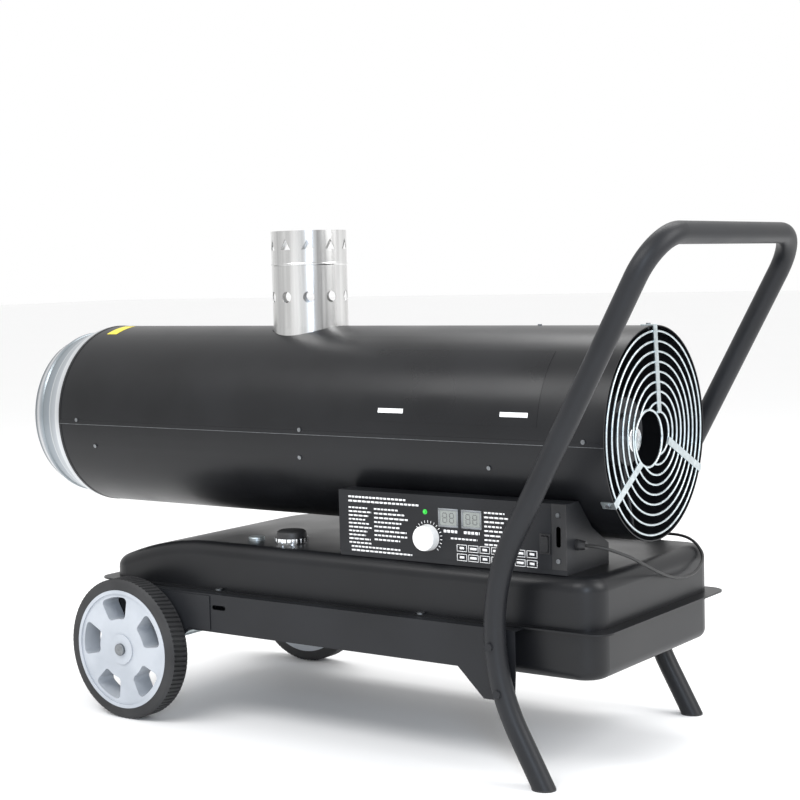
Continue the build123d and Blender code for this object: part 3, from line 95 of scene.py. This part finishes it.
def objectNoise(tree, scale, detail=3.0, stretch=(1, 1, 1)):
    place = tree.nodes.new("ShaderNodeTexCoord")
    mapping = tree.nodes.new("ShaderNodeMapping")
    mapping.inputs["Scale"].default_value = stretch
    noise = tree.nodes.new("ShaderNodeTexNoise")
    noise.inputs["Scale"].default_value = scale
    noise.inputs["Detail"].default_value = detail
    tree.links.new(place.outputs["Object"], mapping.inputs["Vector"])
    tree.links.new(mapping.outputs["Vector"], noise.inputs["Vector"])
    return noise.outputs["Fac"]


def varyColour(tree, shader, factor, low, high, span=(0.35, 0.65)):
    ramp = tree.nodes.new("ShaderNodeValToRGB")
    ramp.color_ramp.elements[0].position = span[0]
    ramp.color_ramp.elements[0].color = (*low, 1)
    ramp.color_ramp.elements[1].position = span[1]
    ramp.color_ramp.elements[1].color = (*high, 1)
    tree.links.new(factor, ramp.inputs["Fac"])
    tree.links.new(ramp.outputs["Color"], shader.inputs["Base Color"])


def varyRoughness(tree, shader, factor, low, high):
    spread = tree.nodes.new("ShaderNodeMapRange")
    spread.inputs["From Min"].default_value = 0.3
    spread.inputs["From Max"].default_value = 0.7
    spread.inputs["To Min"].default_value = low
    spread.inputs["To Max"].default_value = high
    tree.links.new(factor, spread.inputs["Value"])
    tree.links.new(spread.outputs["Result"], shader.inputs["Roughness"])


def addBump(tree, shader, factor, strength, distance):
    bump = tree.nodes.new("ShaderNodeBump")
    bump.inputs["Strength"].default_value = strength
    bump.inputs["Distance"].default_value = distance
    tree.links.new(factor, bump.inputs["Height"])
    tree.links.new(bump.outputs["Normal"], shader.inputs["Normal"])


def paint(name, low, high, roughness, grain):
    material, tree, shader = newMaterial(name, roughness)
    shader.inputs["Specular IOR Level"].default_value = 0.28
    cloud = objectNoise(tree, 6.0, 4.0)
    varyColour(tree, shader, cloud, low, high)
    varyRoughness(tree, shader, cloud, roughness - 0.04, roughness + 0.06)
    addBump(tree, shader, objectNoise(tree, 900.0, 2.0), grain, 0.0003)
    return material


def metal(name, low, high, roughness, stretch=(1, 1, 1), grain=0.15, scale=120.0):
    material, tree, shader = newMaterial(name, roughness, metallic=1.0)
    streaks = objectNoise(tree, scale, 4.0, stretch)
    varyColour(tree, shader, streaks, low, high, (0.3, 0.7))
    varyRoughness(tree, shader, streaks, roughness - 0.07, roughness + 0.1)
    addBump(tree, shader, streaks, grain, 0.0003)
    return material


def plastic(name, low, high, roughness, grain=0.25, scale=700.0):
    material, tree, shader = newMaterial(name, roughness)
    varyColour(tree, shader, objectNoise(tree, 14.0, 4.0), low, high)
    addBump(tree, shader, objectNoise(tree, scale, 3.0), grain, 0.0004)
    return material


# Rolled sheet: (place along the barrel, colour) for each band of the outlet ring; the bright and dark bands
# are painted highlights and painted shade
ringHighlightShadeBands = [
    (-0.7875, (0.11, 0.13, 0.14)),
    (-0.7800, (0.21, 0.23, 0.25)),
    (-0.7740, (0.55, 0.56, 0.57)),
    (-0.7640, (0.43, 0.45, 0.48)),
    (-0.7540, (0.24, 0.27, 0.29)),
    (-0.7300, (0.28, 0.31, 0.34)),
    (-0.7270, (0.59, 0.61, 0.62)),
    (-0.7240, (0.35, 0.38, 0.40)),
    (-0.7050, (0.43, 0.45, 0.48)),
    (-0.6990, (0.59, 0.61, 0.62)),
    (-0.6860, (0.49, 0.50, 0.52)),
]


def galvanisedPaintedBands():
    material, tree, shader = newMaterial("galvanisedPaintedBands", 0.34, metallic=0.85)
    place = tree.nodes.new("ShaderNodeTexCoord")
    split = tree.nodes.new("ShaderNodeSeparateXYZ")
    along = tree.nodes.new("ShaderNodeMapRange")
    first, last = ringHighlightShadeBands[0][0], ringHighlightShadeBands[-1][0]
    along.inputs["From Min"].default_value = first
    along.inputs["From Max"].default_value = last
    # The ramp paints the highlight and shade bands along the barrel's length
    ramp = tree.nodes.new("ShaderNodeValToRGB")
    stops = ramp.color_ramp.elements
    while len(stops) < len(ringHighlightShadeBands):
        stops.new(0.5)
    for stop, (x, colour) in zip(stops, ringHighlightShadeBands):
        stop.position = (x - first) / (last - first)
        stop.color = (*colour, 1)
    tree.links.new(place.outputs["Object"], split.inputs["Vector"])
    tree.links.new(split.outputs["X"], along.inputs["Value"])
    tree.links.new(along.outputs["Result"], ramp.inputs["Fac"])
    tree.links.new(ramp.outputs["Color"], shader.inputs["Base Color"])
    rings = objectNoise(tree, 60.0, 4.0, (14, 1, 1))
    varyRoughness(tree, shader, rings, 0.28, 0.42)
    addBump(tree, shader, rings, 0.10, 0.0003)
    return material


looks = {
    "black_paint": paint("blackPaint", (0.0050, 0.0053, 0.0062), (0.0080, 0.0084, 0.0098), 0.34, grain=0.08),
    "satin_black": paint("satinBlack", (0.0075, 0.0080, 0.0095), (0.0120, 0.0128, 0.0150), 0.42, grain=0.15),
    "galvanised": galvanisedPaintedBands(),
    "stainless": metal(
        "stainlessSheet", (0.34, 0.34, 0.34), (0.86, 0.86, 0.85), 0.24, (1, 1, 0.03), scale=34.0
    ),
    "steel": metal("zincSteel", (0.46, 0.52, 0.54), (0.62, 0.68, 0.70), 0.36),
    "chrome": metal("brightSteel", (0.72, 0.73, 0.74), (0.85, 0.86, 0.87), 0.12, grain=0.04),
    "cast": metal("castAluminium", (0.26, 0.27, 0.28), (0.40, 0.41, 0.42), 0.5, grain=0.5),
    "motor_paint": paint("motorEnamel", (0.016, 0.017, 0.019), (0.028, 0.029, 0.032), 0.38, grain=0.35),
    "tyre_black": plastic("tyreRubber", (0.012, 0.012, 0.013), (0.026, 0.026, 0.027), 0.68, 0.5, 420.0),
    "wheel_grey": plastic("wheelGrey", (0.36, 0.385, 0.42), (0.43, 0.455, 0.49), 0.42, 0.15, 500.0),
    "black_plastic": plastic("blackPlastic", (0.012, 0.012, 0.013), (0.02, 0.02, 0.021), 0.45, 0.3),
    "white_plastic": plastic("whitePlastic", (0.78, 0.78, 0.77), (0.86, 0.86, 0.85), 0.3, 0.06),
    "screen": plastic("displayGlass", (0.20, 0.215, 0.20), (0.25, 0.265, 0.25), 0.14, 0.02),
    "green_lens": plastic("greenLens", (0.03, 0.5, 0.05), (0.05, 0.65, 0.08), 0.15, 0.02),
    "copper": metal("copperTube", (0.62, 0.30, 0.18), (0.80, 0.45, 0.30), 0.28),
    "ceramic": plastic("ceramicGlaze", (0.74, 0.71, 0.64), (0.82, 0.79, 0.73), 0.22, 0.05),
    "board_green": plastic("boardGreen", (0.02, 0.12, 0.05), (0.03, 0.18, 0.08), 0.4, 0.1),
    "cord_black": plastic("cordRubber", (0.010, 0.010, 0.010), (0.017, 0.017, 0.017), 0.5, 0.2),
}
whitePrint = plastic("whitePrint", (0.80, 0.80, 0.80), (0.88, 0.88, 0.88), 0.5, 0.1)
dimSteel = metal("dimSteel", (0.16, 0.17, 0.18), (0.26, 0.27, 0.28), 0.4)
yellowPatch = plastic("yellowPatch", (0.62, 0.50, 0.02), (0.72, 0.60, 0.04), 0.4, 0.08)
decalFilm = paint("decalFilm", (0.0060, 0.0063, 0.0073), (0.0085, 0.0089, 0.0103), 0.28, grain=0.04)
framePlastic = plastic("framePlastic", (0.17, 0.18, 0.19), (0.22, 0.23, 0.24), 0.4, 0.1)
digitGrey = plastic("digitGrey", (0.10, 0.10, 0.10), (0.13, 0.13, 0.13), 0.3, 0.02)

dimNodes = ("shell_screws", "tank_screws", "panel_screws", "axle_caps")  # duller than the other steel
for part in frame["record"]["subparts"]:
    node = nodes[part["node"]]
    node.data.materials.clear()
    dim = part["node"] in dimNodes
    node.data.materials.append(dimSteel if dim else looks[part["material_slot"]])
print("materials made")


# Meshes
def finishPiece(name, mesh, material, body, replaced=(), smooth=40):
    piece = bpy.data.objects.new(name, mesh)
    bpy.context.scene.collection.objects.link(piece)
    mesh.materials.append(material)
    mesh.shade_smooth()
    if smooth:
        mesh.set_sharp_from_angle(angle=math.radians(smooth))
    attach(piece, body)
    if replaced:
        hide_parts(*replaced)
    return piece


def meshFrom(bm, name):
    bmesh.ops.recalc_face_normals(bm, faces=bm.faces)
    mesh = bpy.data.meshes.new(name)
    bm.to_mesh(mesh)
    bm.free()
    return mesh


def gridFaces(bm, rows, closeRows=False, closeColumns=False):  # quads between rows of points
    made = [[bm.verts.new(point) for point in row] for row in rows]
    rowCount, columnCount = len(made), len(made[0])
    for i in range(rowCount if closeRows else rowCount - 1):
        for j in range(columnCount if closeColumns else columnCount - 1):
            a, b = made[i], made[(i + 1) % rowCount]
            k = (j + 1) % columnCount
            bm.faces.new((a[j], a[k], b[k], b[j]))
    return made


def addBox(bm, centre, size, turn=None):
    place = Matrix.Translation(centre)
    if turn is not None:
        place = place @ turn.to_4x4()
    bmesh.ops.create_cube(bm, size=1.0, matrix=place @ Matrix.Diagonal((*size, 1)))


def barrelPoint(x, angle, lift):  # angle in degrees, up from the panel side
    turn = math.radians(angle)
    radius = barrel["radius"] + lift
    return (x, -radius * math.cos(turn), barrel["height"] + radius * math.sin(turn))


def addBarrelPatch(bm, x0, x1, angle0, angle1, lift, thick=0.0002):  # thin curved plate
    steps = max(2, int(abs(angle1 - angle0) / 2) + 1)
    angles = [angle0 + (angle1 - angle0) * i / steps for i in range(steps + 1)]
    ring = []
    for x, raised in ((x0, lift), (x1, lift), (x1, lift - thick), (x0, lift - thick)):
        ring.append([barrelPoint(x, angle, raised) for angle in angles])
    made = gridFaces(bm, ring, closeRows=True)
    for column in (0, -1):
        bm.faces.new([row[column] for row in made])


def lathe(bm, profile, centre, axis, steps):  # profile: (distance along, radius)
    axis = Vector(axis).normalized()
    first = axis.orthogonal().normalized()
    second = axis.cross(first)
    rows = []
    for i in range(steps):
        turn = 2 * math.pi * i / steps
        out = math.cos(turn) * first + math.sin(turn) * second
        rows.append([Vector(centre) + axis * along + out * radius for along, radius in profile])
    gridFaces(bm, rows, closeRows=True)
    bmesh.ops.remove_doubles(bm, verts=bm.verts, dist=1e-6)


# Mains lead: one spline through the free stretch and the coil
lead = {"radius": 0.00275, "length": 1.80, "exit": (0.573, -0.173, 0.400)}
coil = {"x": 0.300, "y": 0.140, "outer": 0.038, "pitch": 0.006, "turns": 2.5, "low": 0.35485, "tail": 0.040}
coilSwell = 0.0006  # the spline runs inside its points by about this much
leadPoints = [
    lead["exit"],
    (0.600, -0.173, 0.400),
    (0.621, -0.152, 0.389),
    (0.631, -0.118, 0.375),
    (0.636, -0.076, 0.355),
    (0.637, -0.024, 0.333),
    (0.636, 0.030, 0.316),
    (0.634, 0.086, 0.309),
    (0.631, 0.136, 0.312),
    (0.628, 0.171, 0.334),
    (0.601, 0.181, 0.362),
    (0.558, 0.188, 0.369),
    (0.510, 0.193, 0.362),
    (0.450, 0.186, 0.356),
    (0.385, 0.178, 0.35485),
]


def coilPoint(turns):
    climb = min(max((turns - coil["turns"]) / 0.5, 0), 1)
    inward = coil["turns"] + 0.25 - abs(turns - coil["turns"] - 0.25)
    radius = coil["outer"] + coilSwell - coil["pitch"] * inward
    height = coil["low"] + coil["pitch"] * (1 - math.cos(math.pi * climb)) / 2
    turn = 2 * math.pi * (turns + 0.25)
    return (coil["x"] + radius * math.cos(turn), coil["y"] + radius * math.sin(turn), height)


def makeLead():
    wholeTurns = 2 * coil["turns"] + 0.5
    points = list(leadPoints)
    for i in range(int(wholeTurns * 16) + 1):
        points.append(coilPoint(i / 16))
    end = Vector(coilPoint(wholeTurns))
    points.append(tuple(end + Vector((coil["tail"] / 2, -coilSwell, 0))))
    points.append((coil["x"] + coil["tail"], coil["y"] - coil["outer"], coil["low"] + coil["pitch"]))
    curve = bpy.data.curves.new("mainsLead", "CURVE")
    curve.dimensions = "3D"
    curve.bevel_depth = lead["radius"]
    curve.bevel_resolution = 5
    curve.resolution_u = 8
    curve.use_fill_caps = True
    spline = curve.splines.new("NURBS")
    spline.points.add(len(points) - 1)
    for target, point in zip(spline.points, points):
        target.co = (*point, 1)
    spline.order_u = 3
    spline.use_endpoint_u = True
    curve.materials.append(looks["cord_black"])
    piece = bpy.data.objects.new("mainsLead", curve)
    bpy.context.scene.collection.objects.link(piece)
    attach(piece, "frame")
    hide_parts("power_cord", "cord_coil")


makeLead()
print("mains lead made")


# Barrel: seam lips with a painted highlight along their edge, end hems, a plain decal with two bars, and a
# blank yellow patch
lips = {"middles": (-1.3, 181.3), "half": 1.2, "lift": 0.0009, "thick": 0.0008}
seamHighlightStrips = {"middles": (-2.35, 182.35), "half": 0.11, "lift": 0.0013, "thick": 0.0004}
hem = {"half": 0.003, "lift": 0.0006, "thick": 0.0007}
decal = {"x0": 0.112, "x1": 0.488, "low": 7, "high": 52}
bars = {"middle": 13, "half": 1.25, "spans": [(0.149, 0.205), (0.412, 0.469)]}
frontPatch = {"x0": -0.651, "x1": -0.622, "low": 67, "high": 85}


def addSeams(bm, seam):
    for middle in seam["middles"]:
        low, high = middle - seam["half"], middle + seam["half"]
        addBarrelPatch(bm, barrel["front"], barrel["rear"], low, high, seam["lift"], seam["thick"])


def addPlate(bm, plate, lift):
    addBarrelPatch(bm, plate["x0"], plate["x1"], plate["low"], plate["high"], lift)


def makeBarrelDetail():
    bm = bmesh.new()
    addSeams(bm, lips)
    for x in (barrel["front"] + hem["half"], barrel["rear"] - hem["half"]):
        x0, x1 = x - hem["half"], x + hem["half"]
        for start in (-90, 90):
            addBarrelPatch(bm, x0, x1, start, start + 180, hem["lift"], hem["thick"])
    finishPiece("seamLips", meshFrom(bm, "seamLips"), looks["black_paint"], "frame")
    # A thin dim steel strip on each seam paints the highlight that falls along the seam's edge
    bm = bmesh.new()
    addSeams(bm, seamHighlightStrips)
    finishPiece("seamPaintedHighlight", meshFrom(bm, "seamPaintedHighlight"), dimSteel, "frame")
    bm = bmesh.new()
    addPlate(bm, decal, 0.00035)
    finishPiece("decalPanel", meshFrom(bm, "decalPanel"), decalFilm, "frame")
    bm = bmesh.new()
    for x0, x1 in bars["spans"]:
        addBarrelPatch(bm, x0, x1, bars["middle"] - bars["half"], bars["middle"] + bars["half"], 0.0006)
    finishPiece("decalBars", meshFrom(bm, "decalBars"), whitePrint, "frame")
    bm = bmesh.new()
    addPlate(bm, frontPatch, 0.0004)
    finishPiece("frontPatch", meshFrom(bm, "frontPatch"), yellowPatch, "frame")


makeBarrelDetail()
print("barrel detail made")


# Tyres: a black ring with ribs across the tread
tyre = {"outer": 0.140, "inner": 0.118, "face": 0.3106, "width": 0.045, "ribs": 90, "groove": 0.0030}
shoulder = [(0, 0.008), (0.0015, 0.004), (0.004, 0.0008)]  # (in from the side, in from the tread)
treadEdge = 0.0045  # in from the side
stepsPerRib = 6


def makeTyre(name, side, body, node):
    outer, inner, groove = tyre["outer"], tyre["inner"], tyre["groove"]
    start, end = tyre["face"], tyre["face"] - tyre["width"]
    profile = [(start, inner, 0)]
    profile += [(start - inset, outer - drop, 0) for inset, drop in shoulder]
    treadPlaces = (start - treadEdge, start - 0.015, start - 0.030, end + treadEdge)
    profile += [(along, outer, 1) for along in treadPlaces]
    profile += [(end + inset, outer - drop, 0) for inset, drop in reversed(shoulder)]
    profile.append((end, inner, 0))
    rows = []
    total = tyre["ribs"] * stepsPerRib
    for i in range(total):
        cut = 1 if i % stepsPerRib in (4, 5) else 0
        row = []
        for along, radius, tread in profile:
            lean = 0.055 * (along - (start + end) / 2) / tyre["width"]
            turn = 2 * math.pi * i / total + lean
            depth = groove * cut * tread
            row.append((
                axle["x"] + (radius - depth) * math.cos(turn),
                side * along,
                axle["z"] + (radius - depth) * math.sin(turn),
            ))
        rows.append(row)
    bm = bmesh.new()
    gridFaces(bm, rows, closeRows=True, closeColumns=True)
    finishPiece(name, meshFrom(bm, name), looks["tyre_black"], body, (node,), 30)


makeTyre("leftTread", -1, "left_wheel_set", "left_tyre")
makeTyre("rightTread", 1, "right_wheel_set", "right_tyre")
print("tyres made")


# Control panel: plain bars for the printing, dial marks, frames and figures on the displays
dial = {"x": 0.271, "z": 0.398, "tickInner": 0.0262, "tickOuter": 0.0308, "ticks": 21, "tick": 0.0011}
displays = {"xs": (0.3155, 0.3646), "z": 0.436, "width": 0.0420, "height": 0.0335, "rim": 0.0035}
printLift = 0.00025
words = {"least": 0.006, "spread": 0.004, "gap": 0.0018, "shortLine": 0.72, "lineSpread": 0.28}
textBlocks = [
    {"x0": 0.094, "x1": 0.146, "top": 0.442, "rows": 10, "step": 0.0072, "bar": 0.0028},
    {"x0": 0.094, "x1": 0.252, "top": 0.462, "rows": 2, "step": 0.0078, "bar": 0.0034},
    {"x0": 0.152, "x1": 0.228, "top": 0.442, "rows": 8, "step": 0.0080, "bar": 0.0030},
    {"x0": 0.099, "x1": 0.236, "top": 0.370, "rows": 2, "step": 0.0070, "bar": 0.0030},
    {"x0": 0.391, "x1": 0.440, "top": 0.450, "rows": 8, "step": 0.0080, "bar": 0.0030},
    {"x0": 0.305, "x1": 0.334, "top": 0.412, "rows": 1, "step": 0.009, "bar": 0.0050},
    {"x0": 0.348, "x1": 0.382, "top": 0.412, "rows": 1, "step": 0.009, "bar": 0.0050},
    {"x0": 0.320, "x1": 0.376, "top": 0.400, "rows": 1, "step": 0.009, "bar": 0.0030},
]
legend = {"x0": 0.331, "x1": 0.499, "rows": (0.384, 0.3675), "columns": 7, "height": 0.0125, "line": 0.0010}
legendGap, legendWord = 0.003, 0.0042
figure = {"places": (-0.0072, 0.0072), "reach": 0.0042, "rise": 0.0085, "bar": 0.0066, "stroke": 0.0014}


def panelBox(bm, x, z, width, height):
    addBox(bm, (x, panelFace - printLift / 2, z), (width, printLift, height))


# Grey frames, and seven-bar figures with every bar shown
def makeDisplayFigures():
    frames, figures = bmesh.new(), bmesh.new()
    width, height, rim, z = displays["width"], displays["height"], displays["rim"], displays["z"]
    reach, rise = figure["reach"], figure["rise"]
    flat = (figure["bar"], 0.0002, figure["stroke"])
    upright = (figure["stroke"], 0.0002, figure["bar"])
    barPlaces = [(0, rise, flat), (0, 0, flat), (0, -rise, flat)]
    for dx, dz in ((-reach, reach), (reach, reach), (-reach, -reach), (reach, -reach)):
        barPlaces.append((dx, dz, upright))
    frameY, figureY = panelFace - 0.0011, panelFace - 0.0006
    for x in displays["xs"]:
        for side in (-1, 1):
            addBox(frames, (x, frameY, z + side * (height - rim) / 2), (width, 0.0004, rim))
            addBox(frames, (x + side * (width - rim) / 2, frameY, z), (rim, 0.0004, height - 2 * rim))
        for place in figure["places"]:
            for dx, dz, size in barPlaces:
                addBox(figures, (x + place + dx, figureY, z + dz), size)
    framesMesh, figuresMesh = meshFrom(frames, "displayFrames"), meshFrom(figures, "displayFigures")
    finishPiece("displayFrames", framesMesh, framePlastic, "frame", smooth=0)
    finishPiece("displayFigures", figuresMesh, digitGrey, "frame", smooth=0)


def makePanelPrint():
    bm = bmesh.new()
    for block in textBlocks:
        for row in range(block["rows"]):
            share = words["shortLine"] + words["lineSpread"] * math.cos(2.3 * row + 10 * block["x0"]) ** 2
            length = (block["x1"] - block["x0"]) * share
            start = block["x0"]
            piece = 0
            while start < block["x0"] + length:
                width = words["least"] + words["spread"] * math.sin(3.1 * piece + row) ** 2
                width = min(width, block["x0"] + length - start)
                panelBox(bm, start + width / 2, block["top"] - row * block["step"], width, block["bar"])
                start += width + words["gap"]
                piece += 1
    pitch = (legend["x1"] - legend["x0"]) / legend["columns"]
    width, height, line = pitch - legendGap, legend["height"], legend["line"]
    for z in legend["rows"]:
        for column in range(legend["columns"]):
            x = legend["x0"] + (column + 0.5) * pitch
            for side in (-1, 1):
                panelBox(bm, x, z + side * (height - line) / 2, width, line)
                panelBox(bm, x + side * (width - line) / 2, z, line, height - 2 * line)
            panelBox(bm, x, z, width * (0.45 + 0.2 * (column % 2)), legendWord)
    for i in range(dial["ticks"]):
        turn = math.radians(225 - 270 * i / (dial["ticks"] - 1))
        middle = (dial["tickInner"] + dial["tickOuter"]) / 2
        spin = Matrix.Rotation(-turn, 3, "Y")
        x, z = dial["x"] + middle * math.cos(turn), dial["z"] + middle * math.sin(turn)
        place = (x, panelFace - printLift / 2, z)
        addBox(bm, place, (dial["tickOuter"] - dial["tickInner"], printLift, dial["tick"]), spin)
    finishPiece("panelPrint", meshFrom(bm, "panelPrint"), whitePrint, "frame", smooth=0)
    makeDisplayFigures()


makePanelPrint()
print("panel print made")


# Fuel cap: a bright ribbed band under a black dome
cap = {"x": -0.097, "y": -0.145, "floor": 0.354}
capBand = {"ribs": 22, "outer": 0.0328, "inner": 0.0266, "groove": 0.0012, "low": 0.0004, "high": 0.0090}
capDome = [  # (height over the cap's floor, radius)
    (0.0070, 0.0001), (0.0070, 0.0263), (0.0094, 0.0263), (0.0094, 0.0300), (0.0165, 0.0296),
    (0.0205, 0.0280), (0.0230, 0.0245), (0.0238, 0.0190), (0.0239, 0.0001),
]


def makeFuelCap():
    bm = bmesh.new()
    lathe(bm, capDome, (cap["x"], cap["y"], cap["floor"]), (0, 0, 1), 72)
    dome = meshFrom(bm, "capDome")
    finishPiece("capDome", dome, looks["black_plastic"], "cap", ("fuel_cap",), 30)
    low, high, inner = capBand["low"], capBand["high"], capBand["inner"]
    total = capBand["ribs"] * stepsPerRib
    rows = []
    for i in range(total):
        turn = 2 * math.pi * i / total
        outer = capBand["outer"] - (capBand["groove"] if i % stepsPerRib == 5 else 0)
        row = []
        for z, radius in ((low, inner), (low, outer), (high, outer), (high, inner)):
            x, y = cap["x"] + radius * math.cos(turn), cap["y"] + radius * math.sin(turn)
            row.append((x, y, cap["floor"] + z))
        rows.append(row)
    bm = bmesh.new()
    gridFaces(bm, rows, closeRows=True, closeColumns=True)
    finishPiece("capBand", meshFrom(bm, "capBand"), looks["chrome"], "cap", smooth=30)


makeFuelCap()
print("fuel cap made")


# Floor and light
studio = {"floor": 40, "roughness": 0.75, "dark": (0.935, 0.935, 0.935), "light": (0.94, 0.94, 0.94)}
lights = {
    "keyLight": {"place": (-0.5, -2.6, 3.4), "target": (0, 0, 0.5), "size": (3.2, 1.4), "power": 90},
    "rearLight": {"place": (3.2, 0.6, 2.2), "target": (0.3, 0, 0.5), "size": (1.6, 2.0), "power": 60},
    "topLight": {"place": (0, 1.6, 3.6), "target": (0, 0, 0.6), "size": (3.5, 1.2), "power": 60},
    "sideLight": {"place": (3.0, -3.7, 1.7), "target": (0.5, -0.2, 0.3), "size": (0.7, 1.8), "power": 70},
}
sideColour = (0.72, 0.84, 1.0)  # cool light on the panel side


def makeStage():
    bm = bmesh.new()
    bmesh.ops.create_grid(bm, x_segments=1, y_segments=1, size=studio["floor"])
    mesh = meshFrom(bm, "floor")
    material, tree, shader = newMaterial("paleFloor", studio["roughness"])
    varyColour(tree, shader, objectNoise(tree, 0.8), studio["dark"], studio["light"])
    mesh.materials.append(material)
    floor = bpy.data.objects.new("floor", mesh)
    bpy.context.scene.collection.objects.link(floor)
    world = bpy.data.worlds.new("studio")
    bpy.context.scene.world = world
    world.use_nodes = True
    world.node_tree.nodes["Background"].inputs["Color"].default_value = (1, 1, 1, 1)
    world.node_tree.nodes["Background"].inputs["Strength"].default_value = 1.0


def addLight(name, place, target, size, power):
    light = bpy.data.lights.new(name, "AREA")
    light.shape = "RECTANGLE"
    light.size, light.size_y = size
    light.energy = power
    light.color = sideColour if name == "sideLight" else (1, 1, 1)
    lamp = bpy.data.objects.new(name, light)
    lamp.location = place
    lamp.rotation_euler = (Vector(target) - Vector(place)).to_track_quat("-Z", "Y").to_euler()
    bpy.context.scene.collection.objects.link(lamp)


makeStage()
bpy.context.scene.view_settings.view_transform = "Standard"
for name, light in lights.items():
    addLight(name, **light)
print("stage made")
